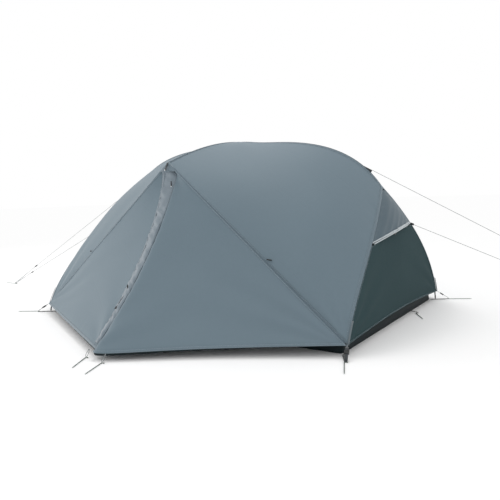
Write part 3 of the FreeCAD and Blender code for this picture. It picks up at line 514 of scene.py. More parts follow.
def braided(name, look):
    # braided cord; look: colour, tone, pitch of the braid in metres, rough
    material, tree, surface = newMaterial(name, {"Sheen Weight": 0.3, "Roughness": look["rough"]})
    place = addNode(tree, "ShaderNodeTexCoord").outputs["Object"]
    strands = []
    for turn in (0.9, -0.9):                       # two families of strands that cross
        leaning = addNode(tree, "ShaderNodeMapping", None,
                          {"Vector": place, "Rotation": (turn, turn * 0.6, turn)})
        strands.append(addNode(tree, "ShaderNodeTexWave", {"bands_direction": "DIAGONAL"}, {
            "Vector": leaning.outputs[0], "Scale": 0.05 / look["pitch"], "Distortion": 0.4}).outputs["Fac"])
    braid = addNode(tree, "ShaderNodeMath", {"operation": "MAXIMUM"}, {0: strands[0], 1: strands[1]}).outputs[0]
    colour = addNode(tree, "ShaderNodeMix", {"data_type": "RGBA"},
                     {"Factor": braid, 6: linear(look["tone"]), 7: linear(look["colour"])}).outputs[2]
    tree.links.new(colour, surface.inputs["Base Color"])
    bump = addNode(tree, "ShaderNodeBump", None,
                   {"Height": braid, "Strength": 0.5, "Distance": look["pitch"] * 0.3})
    tree.links.new(bump.outputs[0], surface.inputs["Normal"])
    return material


# thread spacings are drawn about eight times the real 0.2 to 0.3 mm, because the real ones are too fine to show
finish = {
    # 68D polyester taffeta, PU coated inside and silicone outside: even, satin, faint fold lines
    "flyCloth": wovenCloth("polyester_taffeta_slate", {
        "colour": "#667781", "tone": "#5d6e78", "thread": 0.0022, "weave": 0.10, "slub": 0.6, "rough": 0.6,
        "sheen": 0.10, "gloss": 0.35, "crease": 0.15}),
    # the same cloth in two layers, its colour drawn paler as painted light
    "flapCloth": wovenCloth("polyester_taffeta_flap", {
        "colour": "#727f88", "tone": "#646f78", "thread": 0.0022, "weave": 0.12, "slub": 0.8, "rough": 0.5,
        "sheen": 0.2, "gloss": 0.45}),
    # the vent hoods' cloth: the fly's cloth with its colour drawn darker, as painted shade
    "hoodClothShaded": wovenCloth("polyester_taffeta_hood", {
        "colour": "#54646d", "tone": "#495962", "thread": 0.0022, "weave": 0.12, "slub": 0.7, "rough": 0.6,
        "sheen": 0.10, "gloss": 0.25}),
    # seam allowances: doubled cloth with the taped side's stiffness
    "seamCloth": wovenCloth("polyester_taffeta_seam", {
        "colour": "#64757f", "tone": "#5a6b75", "thread": 0.0022, "weave": 0.15, "slub": 1.0, "rough": 0.5,
        "sheen": 0.15, "gloss": 0.4}),
    # the same folded over: no gloss, its colour drawn darker as painted shade along the seams
    "seamTape": wovenCloth("polyester_taffeta_folded", {
        "colour": "#5b6b75", "tone": "#51616b", "thread": 0.0022, "weave": 0.15, "slub": 1.0, "rough": 0.6,
        "sheen": 0.1, "gloss": 0.25}),
    # dark cloth of the end panels: matt, with fold lines
    "endCloth": wovenCloth("polyester_taffeta_dark", {
        "colour": "#36484b", "tone": "#2b3d40", "thread": 0.0022, "weave": 0.10, "slub": 0.6, "rough": 0.8,
        "sheen": 0.0, "gloss": 0.08, "crease": 0.2}),
    # 150D oxford with a thick PU coat: near black, a little glossy
    "tubCloth": wovenCloth("oxford_polyester_coated", {
        "colour": "#162225", "tone": "#101a1d", "thread": 0.0030, "weave": 0.25, "slub": 0.6, "rough": 0.6,
        "sheen": 0.0, "gloss": 0.15, "crease": 0.4}),
    # insect mesh: coarse, dark, open weave
    "innerMesh": wovenCloth("nylon_insect_mesh", {
        "colour": "#3a4147", "tone": "#2c3237", "thread": 0.0030, "weave": 0.8, "slub": 0.2, "rough": 0.7,
        "sheen": 0.2, "gloss": 0.3}),
    # uncoated breathable cloth: pale and matt
    "innerCloth": wovenCloth("breathable_polyester", {
        "colour": "#8d979c", "tone": "#818b91", "thread": 0.0024, "weave": 0.2, "slub": 0.8, "rough": 0.65,
        "sheen": 0.25, "gloss": 0.3}),
    # grosgrain at the leg seams: ribbed, grey
    "paleWebbing": wovenCloth("polyester_webbing_grey", {
        "colour": "#6c767b", "tone": "#596368", "thread": 0.0018, "weave": 0.9, "slub": 0.3, "rough": 0.7,
        "sheen": 0.3, "gloss": 0.3}),
    # polyester webbing: ribbed, near black
    "webbing": wovenCloth("polyester_webbing", {
        "colour": "#3c4043", "tone": "#2b2f32", "thread": 0.0018, "weave": 0.9, "slub": 0.3, "rough": 0.7,
        "sheen": 0.3, "gloss": 0.3}),
    # glass bead tape: pale and even, glossier than cloth
    "reflective": wovenCloth("glass_bead_reflective_tape", {
        "colour": "#b9c0c3", "tone": "#a8b0b4", "thread": 0.0015, "weave": 0.3, "slub": 0.5, "rough": 0.38,
        "sheen": 0.0, "gloss": 0.7}),
    # knitted zip tape: matt
    "zipTape": wovenCloth("polyester_zip_tape", {
        "colour": "#46555d", "tone": "#3a4850", "thread": 0.0016, "weave": 0.6, "slub": 0.3, "rough": 0.6,
        "sheen": 0.2, "gloss": 0.3}),
    # injection moulded nylon: black, satin
    "nylon": speckled("moulded_nylon_black", {
        "colour": "#1c1d1f", "tone": "#131415", "grain": 0.0006, "depth": 0.15, "rough": 0.42}),
    # moulded acetal: white, smooth
    "acetal": speckled("moulded_acetal_white", {
        "colour": "#e6e7e6", "tone": "#d6d8d8", "grain": 0.0006, "depth": 0.08, "rough": 0.32}),
    # extruded nylon coil: dark, slightly glossy
    "coil": speckled("nylon_coil_dark", {
        "colour": "#23303a", "tone": "#1a252c", "grain": 0.0008, "depth": 0.1, "rough": 0.35}),
    # die cast zinc, enamelled: a thin clear coat
    "enamel": speckled("enamelled_zinc", {
        "colour": "#2a2c2e", "tone": "#1e2022", "grain": 0.0005, "depth": 0.05, "rough": 0.3, "coat": 0.4}),
    # 7001 tube, bead blasted and anodised grey: even and satin
    "pole": speckled("anodised_aluminium_grey", {
        "colour": "#8b9094", "tone": "#7b8186", "grain": 0.0008, "depth": 0.06, "rough": 0.34, "metal": 1.0}),
    # drawn aluminium: bright, with fine grain
    "ferrule": speckled("drawn_aluminium", {
        "colour": "#d2d4d5", "tone": "#c2c5c7", "grain": 0.0005, "depth": 0.05, "rough": 0.26, "metal": 1.0}),
    # alloy wire: dull metal, scuffed
    "peg": speckled("alloy_peg_wire", {
        "colour": "#9aa39d", "tone": "#848d88", "grain": 0.0007, "depth": 0.12, "rough": 0.38, "metal": 1.0}),
    # braided polyester: strands cross in grey
    "guyCord": braided("braided_polyester_guy", {
        "colour": "#7f8687", "tone": "#5c6365", "pitch": 0.0016, "rough": 0.7}),
    # braided cover over rubber: black
    "elastic": braided("braided_elastic_black", {
        "colour": "#2a2c2e", "tone": "#17191a", "pitch": 0.0014, "rough": 0.65}),
    # spun polyester thread: paler than the cloth
    "thread": braided("polyester_thread", {
        "colour": "#8f9ca5", "tone": "#75838d", "pitch": 0.0012, "rough": 0.6}),
}
print("finishes made:", len(finish))


# camera
def makeCamera():
    view = {"place": (2.05, -2.92, 0.74), "yaw": 34.18, "down": 5.84, "roll": -1.79, "lens": 38.45}
    yaw, down, roll = (math.radians(view[k]) for k in ("yaw", "down", "roll"))
    ahead = Vector((-math.sin(yaw) * math.cos(down), math.cos(yaw) * math.cos(down), -math.sin(down)))
    right = Vector((math.cos(yaw), math.sin(yaw), 0))
    up = right.cross(ahead)
    right, up = right * math.cos(roll) + up * math.sin(roll), up * math.cos(roll) - right * math.sin(roll)
    lens = bpy.data.cameras.new("camera")
    lens.lens, lens.sensor_width, lens.clip_end = view["lens"], 36.0, 200.0
    camera = placed("camera", lens)
    columns = Matrix((right, up, -ahead)).transposed().to_4x4()
    camera.matrix_world = Matrix.Translation(view["place"]) @ columns
    bpy.context.scene.camera = camera


makeCamera()


# guys
guy = {
    "radius": 0.0011,
    "near": 0.013,                                # the straight pull reaches to six diameters from the peg
    "upper": ((0.9212, 0.0018, 0.8593), (2.4665, 0.1225, 0.0087),      # top, both sides of the hook, runner
              (2.4675, 0.1085, 0.0087), (2.1782, 0.0986, 0.1701)),
    "lower": ((1.0807, 0.2491, 0.5360), (2.4676, 0.1213, 0.0057),
              (2.4663, 0.1074, 0.0057), (2.1604, 0.1482, 0.1257)),
    "lengths": {"upper": 2.108, "lower": 1.830},
}


def guyCord(name, points, length, sign):
    # a taut guy: down to its peg, round the hook and back to its runner
    curve = lineCurve(name, [[(sign * p[0], sign * p[1], p[2]) for p in points]], "NURBS")
    curve.bevel_depth = guy["radius"]
    curve.bevel_resolution = 3
    curve.resolution_u = 24
    curve.use_fill_caps = True
    curve.splines[0].use_endpoint_u = True
    curve.materials.append(finish["guyCord"])
    cord = placed(name, curve)
    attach(cord, "tent")
    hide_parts(name.replace("cord", "guy"))


def makeGuys():
    for kind in ("upper", "lower"):
        top, hook, back, end = (Vector(p) for p in guy[kind])
        pull, slack = (top - hook).normalized(), (end - back).normalized()
        points = [top, hook + pull * guy["near"], hook, back, back + slack * guy["near"], end]
        for side, sign in (("a", 1), ("b", -1)):
            guyCord(f"cord_{kind}_{side}", points, guy["lengths"][kind], sign)


makeGuys()
print("guys laid")


# what repeats along a line: stitches and the zip's coil
def repeatTree():
    tree = bpy.data.node_groups.new("repeatAlongLine", "GeometryNodeTree")
    for label, kind in (("Line", "Geometry"), ("Pitch", "Float"), ("Part", "Object"), ("Size", "Vector"),
                        ("Seed", "Int"), ("Finish", "Material")):
        tree.interface.new_socket(label, in_out="INPUT", socket_type="NodeSocket" + kind)
    tree.interface.new_socket("Mesh", in_out="OUTPUT", socket_type="NodeSocketGeometry")
    given = addNode(tree, "NodeGroupInput").outputs
    spots = addNode(tree, "GeometryNodeCurveToPoints", {"mode": "LENGTH"},
                    {"Curve": given["Line"], "Length": given["Pitch"]}).outputs
    part = addNode(tree, "GeometryNodeObjectInfo", None, {"Object": given["Part"]}).outputs["Geometry"]
    uneven = addNode(tree, "FunctionNodeRandomValue", {"data_type": "FLOAT"},
                     {2: 0.9, 3: 1.05, "Seed": given["Seed"]}).outputs[1]
    size = addNode(tree, "ShaderNodeVectorMath", {"operation": "SCALE"},
                   {0: given["Size"], "Scale": uneven}).outputs[0]
    laid = addNode(tree, "GeometryNodeInstanceOnPoints", None, {
        "Points": spots["Points"], "Instance": part, "Rotation": spots["Rotation"], "Scale": size}).outputs[0]
    solid = addNode(tree, "GeometryNodeRealizeInstances", None, {0: laid}).outputs[0]
    done = addNode(tree, "GeometryNodeSetMaterial", None,
                   {"Geometry": solid, "Material": given["Finish"]}).outputs[0]
    addNode(tree, "NodeGroupOutput", None, {"Mesh": done})
    return tree


repeatAlong = repeatTree()


def smallPart(name, rings):
    # a part to repeat, along Z, kept out of the scene
    shape = ringsPiece(name, rings, finish["thread"])
    bpy.context.scene.collection.objects.unlink(shape)
    return shape


def stitchShape():
    # a thread lying on the cloth, six sided, one metre long before it is sized
    levels = ((-0.5, 0.25), (-0.38, 0.8), (0.0, 1.0), (0.38, 0.8), (0.5, 0.25))
    return smallPart("stitchShape", [[Vector((r / 2 * math.cos(a), r / 2 * math.sin(a), z)) for a in
                                      (math.tau * k / 6 for k in range(6))] for z, r in levels])


def coilShape():
    # one turn of the zip's nylon coil, a ring about Z of outer diameter one
    mesh = bpy.data.meshes.new("coilShape")
    shape = bmesh.new()
    rings = []
    for a in (math.tau * i / 12 for i in range(12)):
        outline = [(0.4 + 0.1 * math.cos(b), 0.16 * math.sin(b)) for b in (math.tau * k / 5 for k in range(5))]
        rings.append([shape.verts.new((far * math.cos(a), far * math.sin(a), z)) for far, z in outline])
    for a, b in zip(rings, rings[1:] + rings[:1]):
        for k in range(5):
            shape.faces.new((a[k], b[k], b[(k + 1) % 5], a[(k + 1) % 5]))
    shape.to_mesh(mesh)
    shape.free()
    rightWayOut(mesh)
    return bpy.data.objects.new("coilShape", mesh)


parts = {"stitch": stitchShape(), "coil": coilShape()}


def repeated(name, lines, part, pitch, size, material, seed=1):
    # the part repeated along every line of points, as one plain mesh
    guide = placed(name + "Line", lineCurve(name + "Line", lines))
    modifier = guide.modifiers.new("repeat", "NODES")
    modifier.node_group = repeatAlong
    values = {"Pitch": pitch, "Part": part, "Size": size, "Seed": seed, "Finish": material}
    for item in repeatAlong.interface.items_tree:
        if item.in_out == "INPUT" and item.name in values:
            modifier[item.identifier] = values[item.name]
    mesh = plainMesh(guide)
    bpy.data.objects.remove(guide)
    mesh.materials.clear()
    return newPiece(name, mesh, material)


# sewing: bands and stitch rows, kept for each body until all its panels are made
sewing = {}
stitch = {"pitch": 0.0065, "length": 0.0048, "width": 0.0011}    # drawn twice the real 3 mm pitch


def line(point, edge, inset, lift, span=(0.0, 1.0), step=0.02):
    # points along one edge of a cloth, inset from it
    start, end = (point(*spotOn(point, edge, t, inset)) for t in span)
    count = max(4, round((start - end).length / step))
    return [point(*spotOn(point, edge, mix(*span, i / count), inset), lift) for i in range(count + 1)]


def sew(body, point, edge, width, material="seamCloth", inset=0.0, thickness=0.0012, rows=2, lift=0.0012,
        span=(0, 1)):
    # a band along an edge of a cloth with its rows of stitches
    kept = sewing.setdefault((body, material), {"bands": [], "lines": []})
    name = f"band{len(kept['bands'])}{body}"
    middle = inset + width / 2
    kept["bands"].append(edgeBand(name, point, edge, middle, width, thickness, finish[material], lift, span))
    margin = 0.0022
    for row in range(rows):
        far = inset + margin if row else inset + width - margin
        kept["lines"].append(line(point, edge, far, lift + thickness / 2, span))


twinBody = {"tent": "tent", "door_front_a": "door_rear_b", "door_front_b": "door_rear_a",
            "inner_door_front": "inner_door_rear"}
slots = {"seamCloth": "fly_cloth", "flapCloth": "flap_cloth", "reflective": "piping", "zipTape": "zip",
         "endCloth": "end_cloth"}


def setOn(piece, body, slot, *nodes):
    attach(piece, body)
    if nodes:
        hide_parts(*nodes)
    return piece


def declareCloth(piece, restsOn):
    # cloth hardly stretches; this only gathers the points of its cut, and nothing more is done with them
    uv = [loop.uv for loop in piece.data.uv_layers["cut"].data if loop.uv.length > 1e-6]


# flysheet
panels = {                                        # folds of each panel: heights in metres
    "roof": {"cells": (88, 56), "folds": {
        "sway": 0.0035, "swayPitch": 3.2, "pucker": 0.0022, "puckerPitch": 0.035,
        "pulls": [(1, 1, 0.0035, 9, 0.18), (0, 0, 0.002, 7, 0.14)]}},     # corner u and v, height, count, reach
    "door": {"cells": (72, 72), "folds": {
        "sway": 0.004, "swayPitch": 2.4, "pucker": 0.0020, "puckerPitch": 0.035,
        "pulls": [(1, 1, 0.004, 10, 0.2), (0, 1, 0.003, 8, 0.16), (0, 0, 0.0025, 8, 0.15)]}},
    "end": {"cells": (56, 40), "folds": {"sway": 0.004, "swayPitch": 2.6, "pucker": 0.0015,
                                         "pulls": [(0, 0, 0.004, 9, 0.16), (1, 0, 0.004, 9, 0.16)]}},
    "hood": {"cells": (56, 32), "folds": {"sway": 0.004, "swayPitch": 7.0, "ripple": 0.006, "rippleAcross": 16,
                                          "pucker": 0.003, "held": 0.012}},
    "flap": {"cells": (20, 190), "folds": {"sway": 0.0040, "swayPitch": 22.0, "slant": 0.0062,
                                           "pucker": 0.004, "puckerPitch": 0.030, "puckerReach": 0.03,
                                           "held": 0.003}},
}


def panel(name, kind, surface, out, seed, material):
    settings = panels[kind]
    point = foldedCloth(surface, out, {**settings["folds"], "seed": seed})
    return clothPiece(name, point, settings["cells"], finish[material]), point


def makeRoof():
    for sx, own, twin in ((1, "front_a", "rear_b"), (-1, "front_b", "rear_a")):
        out = (sx * 0.3, -0.6, 0.9)
        piece, point = panel("canopy_" + own, "roof", roofQuarter(sx), out, 11 + sx, "flyCloth")
        sew("tent", point, "v0", 0.017)
        sew("tent", point, "u1", 0.015)
        sew("tent", point, "u0", 0.008)
        sew("tent", point, "v1", 0.009)
        opposite = turned(piece, "canopy_" + twin)
        for each, side in ((piece, "front"), (opposite, "rear")):
            setOn(each, "tent", "fly_cloth", "canopy_" + side)
            declareCloth(each, ["ridge_pole", "leg_poles", "cross_pole"])


tape = {"width": 0.0075, "crown": 0.009, "stand": 0.0012, "thickness": 0.0013,
        "aside": 0.0032}                          # up the roof from the door seam, so that the door can fold


def seamTape(name, path, out, width=tape["crown"]):
    # a folded seam allowance over the join of two panels, in the darker cloth that paints the seams' shade
    rings = []
    for i, here in enumerate(path):
        ahead = (path[min(i + 1, len(path) - 1)] - path[max(i - 1, 0)]).normalized()
        side = out.cross(ahead).normalized()
        face = ahead.cross(side)
        rings.append(bandRing(here + face * tape["stand"], side, face, width, tape["thickness"]))
    return ringsPiece(name, rings, finish["seamTape"])


def makeSeamTapes():
    tapes = []
    for sx in (1, -1):
        out = Vector((sx * 0.5, -0.55, 0.66))
        way = (doorSeam(1, sx) - headPoint).normalized()
        up = ridgeSeam(sx * hubX) - headPoint
        aside = (up - way * up.dot(way)).normalized() * tape["aside"]
        path = [doorSeam(0.03 + 0.96 * i / 60, sx) + aside for i in range(61)]
        tapes.append(seamTape("tape", path, out, tape["width"]))
    tapes.append(seamTape("tape", [crossSeam(0.03 + 0.95 * i / 40) for i in range(41)], Vector((0, -0.4, 1))))
    front = joined("seam_tape_front", tapes)
    top = [ridgeSeam(hubX * (i / 60 - 1) * 0.985) for i in range(121)]
    ridge = seamTape("seam_tape_ridge", top, Vector((0, 0, 1)))
    for piece in (front, turned(front, "seam_tape_rear"), ridge):
        setOn(piece, "tent", "fly_cloth")


def pegLoop(name, start, end, half):
    # a loop of cord that hangs open between the hem and its peg
    along = (end - start).normalized()
    side = Vector((0, 0, 1)).cross(along).normalized()
    spread = [(0.0, 0.15), (0.18, 0.5), (0.45, 0.95), (0.75, 1.0), (0.94, 0.6), (1.0, 0.0)]
    path = [start + (end - start) * t + side * (half * w) for t, w in spread]
    path += [start + (end - start) * t - side * (half * w * 0.9) for t, w in reversed(spread[:-1])]
    curve = lineCurve(name, [path], "NURBS")
    curve.bevel_depth, curve.bevel_resolution, curve.resolution_u = 0.0012, 2, 8
    curve.splines[0].use_cyclic_u = True
    holder = placed(name, curve)
    mesh = plainMesh(holder)
    bpy.data.objects.remove(holder)
    return newPiece(name, mesh, finish["guyCord"])


def hemDarkStrip(name, point):
    # a dark strip along the underside of the hem, widest beside the zip
    rings = []
    for i in range(49):
        t = i / 48
        here = point(t * 0.98 + 0.005, 0.999, -0.0012)
        ahead = (point(min(t + 0.02, 1), 0.999) - here).normalized()
        side = (Vector((0, 0.35, -1)) - ahead * ahead.dot(Vector((0, 0.35, -1)))).normalized()
        width = mix(0.016, 0.003, min(1, t / 0.75))
        rings.append(bandRing(here + side * (width * 0.4), side, ahead.cross(side), width, 0.0010))
    return ringsPiece(name, rings, finish["tubCloth"])


def makeDoors():
    hems = {1: Vector((fly["loopX"], -fly["porchReach"] - 0.020, fly["doorHemHeight"] - 0.002)),
            -1: Vector((0, -fly["porchReach"], fly["doorHemHeight"] - 0.004))}
    for sx, own, twin in ((1, "front_a", "rear_b"), (-1, "front_b", "rear_a")):
        body = "door_" + own
        out = (sx * 0.4, -0.8, 0.5)
        piece, point = panel("fly_door_" + own + "_cloth", "door", wholeDoor(sx), out, 23 + sx, "flyCloth")
        sew(body, point, "u1", 0.009, inset=0.0015)
        sew(body, point, "v1", 0.014)
        sew(body, point, "u0", 0.005, "zipTape", thickness=0.0009, rows=1, lift=0.0008)
        hem, turn = hems[sx], math.radians(fly["loopTurns"][sx])
        far = hem + Vector((math.cos(turn), math.sin(turn), 0)) * (fly["loopReach"] + 0.004)
        far.z = fly["loopRest"] - 0.001
        loop = pegLoop("peg_loop_" + own, mix(hem, far, 0.04), far, 0.0055)
        facing = hemDarkStrip("hem_facing_" + own, point)
        for each, ring, under, name in (
                (piece, loop, facing, own),
                (turned(piece, "fly_door_" + twin + "_cloth"), turned(loop, "peg_loop_" + twin),
                 turned(facing, "hem_facing_" + twin), twin)):
            setOn(each, "door_" + name, "fly_cloth", "fly_door_" + name)
            setOn(ring, "door_" + name, "guy_cord")
            setOn(under, "door_" + name, "tub_cloth")
            declareCloth(each, ["canopy_front_a" if "front" in name else "canopy_rear_a"])


coil = {"pitch": 0.0023, "size": 0.0042}
bead = {"levels": ((-0.0032, 0.0009), (-0.0026, 0.0022), (-0.0012, 0.0032),
                   (0.0012, 0.0032), (0.0026, 0.0022), (0.0032, 0.0009)),      # height and radius of each ring
        # apex: where a white bead sits on the black apex tab, as a painted glint
        "along": (0.66, 0.055), "stand": 0.0187, "drop": 0.0155, "apex": (-0.002, -0.026, -0.040)}


def makeFlapAndZip():
    # the storm flap takes the paler cloth: painted light
    piece, point = panel("storm_flap_front_cloth", "flap", stormFlap, (-0.3, -0.9, 0.4), 37, "flapCloth")
    sew("door_front_b", point, "u1", 0.007, "flapCloth", thickness=0.0008, lift=0.0008)
    sew("door_front_b", point, "u0", 0.005, "flapCloth", thickness=0.0008, lift=0.0008, rows=1)
    path = [zipLine(0.01 + 0.985 * i / 60) for i in range(61)]
    size = (coil["size"],) * 3
    chain = repeated("zip_front_coil", [path], parts["coil"], coil["pitch"], size, finish["coil"])
    beadsAndGlint = []
    plainDoor = doorSurface(-1)
    out, down = Vector((0, -1, 0.35)) * bead["stand"], Vector((0, 0, -bead["drop"]))
    spots = [plainDoor(0.03, along) + out + down for along in bead["along"]]
    turns = [math.tau * k / 14 for k in range(14)]
    # the beads on the flap, and a last one on the apex tab that is a painted glint
    for spot in spots + [headPoint + Vector(bead["apex"])]:
        rings = [[spot + Vector((r * math.cos(a), r * math.sin(a), z)) for a in turns]
                 for z, r in bead["levels"]]
        beadsAndGlint.append(ringsPiece("bead", rings, finish["acetal"]))
    buttons = joined("flap_beads_front", beadsAndGlint)
    for each, slot, node, base in ((piece, "flap_cloth", "storm_flap_", "storm_flap_{}_cloth"),
                                   (chain, "zip", "zip_", "zip_{}_coil"),
                                   (buttons, "plastic", None, "flap_beads_{}")):
        opposite = turned(each, base.format("rear"))
        for one, body, side in ((each, "door_front_b", "front"), (opposite, "door_rear_a", "rear")):
            setOn(one, body, slot, *([node + side] if node else []))
            if each == piece:
                declareCloth(one, [f"fly_door_{body[5:]}_cloth"])


def makeEnds():
    piece, point = panel("fly_end_a_cloth", "end", endPanel, (1, 0, 0.1), 51, "endCloth")
    sew("tent", point, "v0", 0.012, "endCloth")
    sew("tent", point, "u0", 0.008, "endCloth")
    sew("tent", point, "u1", 0.008, "endCloth")
    sew("tent", point, "v1", 0.010, "endCloth", rows=1)
    # the hoods take the darker cloth: painted shade
    hood, roof = panel("vent_hood_a_cloth", "hood", ventHood, (1, 0, 0.4), 67, "hoodClothShaded")
    sew("tent", roof, "v1", 0.012, "reflective", thickness=0.0022, lift=0.0016)
    for each, slot, node in ((piece, "end_cloth", "fly_end_"), (hood, "fly_cloth", "vent_hood_")):
        opposite = turned(each, node + "b_cloth")
        for one, end in ((each, "a"), (opposite, "b")):
            setOn(one, "tent", slot, node + end)
            declareCloth(one, ["leg_poles"])


def makeApexPatch():
    startT = fly["doorTopX"] / hemCorner(1).x

    def patch(u, v):
        top = mix(doorSeam(0.006, 1), doorSeam(0.006, -1), u) + Vector((0, -0.001, 0.002))
        foot = mix(doorSeam(startT, 1), doorSeam(startT, -1), u)
        return mix(top, foot + Vector((0, 0.004 * math.sin(math.pi * u) - 0.002, 0.003)), v)

    point = foldedCloth(patch, (0, -1, 0.5), {"seed": 71, "pucker": 0.0015, "held": 0.008})
    piece = clothPiece("apex_patch_front", point, (20, 10), finish["seamCloth"], 0.0014)
    sew("tent", point, "v1", 0.007, lift=0.0014)
    for one in (piece, turned(piece, "apex_patch_rear")):
        setOn(one, "tent", "fly_cloth", "apex_patches")
        declareCloth(one, ["cross_pole"])


makeRoof()
makeSeamTapes()
makeDoors()
makeFlapAndZip()
makeEnds()
makeApexPatch()
print("flysheet cut and sewn")


# inner tent
inner = {
    "halfLength": 1.050, "halfWidth": 0.712, "tubHeight": 0.120, "lean": 0.018, "drop": 0.045,
    "powerMiddle": 2.3, "powerEnd": 1.15, "taper": 0.112, "gap": 0.0025,
    "doorHalf": 0.430, "doorFoot": 0.175, "doorHead": 0.800, "doorCorner": 0.210, "slit": 0.005, "sill": 0.008,
    "clothTop": 0.36,                             # breathable cloth up to here, insect mesh above
}


def innerWall(u, v, sy=-1, shrink=0.0):
    wide = inner["halfWidth"] - inner["lean"] - 0.00125 - shrink
    tall = superZ(u * hubX * 0.97) - inner["drop"]
    power = mix(inner["powerEnd"], inner["powerMiddle"], (1 - abs(u)) ** 0.8)
    rim = (inner["tubHeight"] + 0.0015) / tall
    first = math.atan2(rim, (1 - rim ** power) ** (1 / power))
    turn = mix(first, math.pi / 2 - 0.006, v)
    c, s = math.cos(turn), math.sin(turn)
    reach = (c ** power + s ** power) ** (-1 / power)
    z = tall * s * reach
    x = u * (inner["halfLength"] - inner["lean"] - inner["gap"] - inner["taper"] * (z / fly["hubHeight"]) ** 3)
    return Vector((x, sy * wide * c * reach / (1 - rim ** power) ** (1 / power), z))


def doorPrism(grow, sill, y0=-0.9, y1=-0.25):
    # the inner door's outline as a block along Y, grown by a margin, with its foot raised by sill
    half, foot, head = inner["doorHalf"] + grow, inner["doorFoot"] - grow + sill, inner["doorHead"] + grow
    corner = inner["doorCorner"] + grow
    outline = [(-half, foot), (half, foot)]
    for cx, first in ((half - corner, 0.0), (-half + corner, math.pi / 2)):
        outline += [(cx + corner * math.cos(first + a), head - corner + corner * math.sin(first + a))
                    for a in (math.pi / 2 * k / 8 for k in range(9))]
    return ringsPiece("prism", [[Vector((x, y, z)) for x, z in outline] for y in (y0, y1)], finish["nylon"])


def cutBy(piece, tool, operation):
    # boolean of a closed piece with a tool, which is removed
    tool.data.uv_layers.remove(tool.data.uv_layers["cut"])
    modifier = piece.modifiers.new("cut", "BOOLEAN")
    modifier.operation, modifier.object, modifier.solver = operation, tool, "EXACT"
    mesh = plainMesh(piece)
    piece.modifiers.clear()
    piece.data = mesh
    bpy.data.objects.remove(tool)
    return piece


def innerMaterials(piece):
    # cloth below and insect mesh above, split by height
    piece.data.materials.clear()
    for name in ("innerMesh", "innerCloth"):
        piece.data.materials.append(finish[name])
    for face in piece.data.polygons:
        face.material_index = 1 if face.center.z < inner["clothTop"] else 0
        face.use_smooth = True


def makeInner():
    folds = {"sway": 0.004, "swayPitch": 4.0, "pucker": 0.003, "held": 0.03, "seed": 83}
    wall = foldedCloth(lambda u, v: innerWall(2 * u - 1, v), (0, -1, 0.4), folds)

    def wallPiece(name, thickness=0.0010):
        return clothPiece(name, wall, (96, 48), finish["innerMesh"], thickness)

    side = cutBy(wallPiece("inner_side_front_cloth"), doorPrism(0.0, 0.0), "DIFFERENCE")
    door = cutBy(wallPiece("inner_door_front_cloth"), doorPrism(-inner["slit"], inner["sill"]), "INTERSECT")
    edge = cutBy(cutBy(wallPiece("inner_zip_front", 0.0024), doorPrism(0.014, 0.0), "INTERSECT"),
                 doorPrism(0.0, 0.0), "DIFFERENCE")
    edge.data.materials.clear()
    edge.data.materials.append(finish["zipTape"])
    rests = {"inner_side_": "floor_tub_cloth", "inner_door_": "inner_side_{}_cloth"}
    for each, body, slot, node, base in (
            (side, "tent", "inner_mesh", "inner_side_", "inner_side_{}_cloth"),
            (door, "inner_door_front", "inner_mesh", "inner_door_", "inner_door_{}_cloth"),
            (edge, "tent", "zip", None, "inner_zip_{}")):
        if node:
            innerMaterials(each)
        opposite = turned(each, base.format("rear"))
        for one, where, face in ((each, body, "front"), (opposite, twinBody[body], "rear")):
            setOn(one, where, slot, *([node + face] if node else []))
            if node:
                declareCloth(one, [rests[node].format(face)])


def makeInnerEnds():
    def end(u, v):
        a, b = innerWall(1, v * 0.985, -1, 0.004), innerWall(1, v * 0.985, 1, 0.004)
        return mix(a, b, u) + Vector((0.003, 0, 0))

    point = foldedCloth(end, (1, 0, 0.2), {"sway": 0.004, "swayPitch": 4.0, "held": 0.03, "seed": 91})
    piece = clothPiece("inner_end_a_cloth", point, (40, 32), finish["innerMesh"])
    innerMaterials(piece)
    for one, node in ((piece, "inner_end_a"), (turned(piece, "inner_end_b_cloth"), "inner_end_b")):
        setOn(one, "tent", "inner_mesh", node)
        declareCloth(one, ["floor_tub_cloth"])


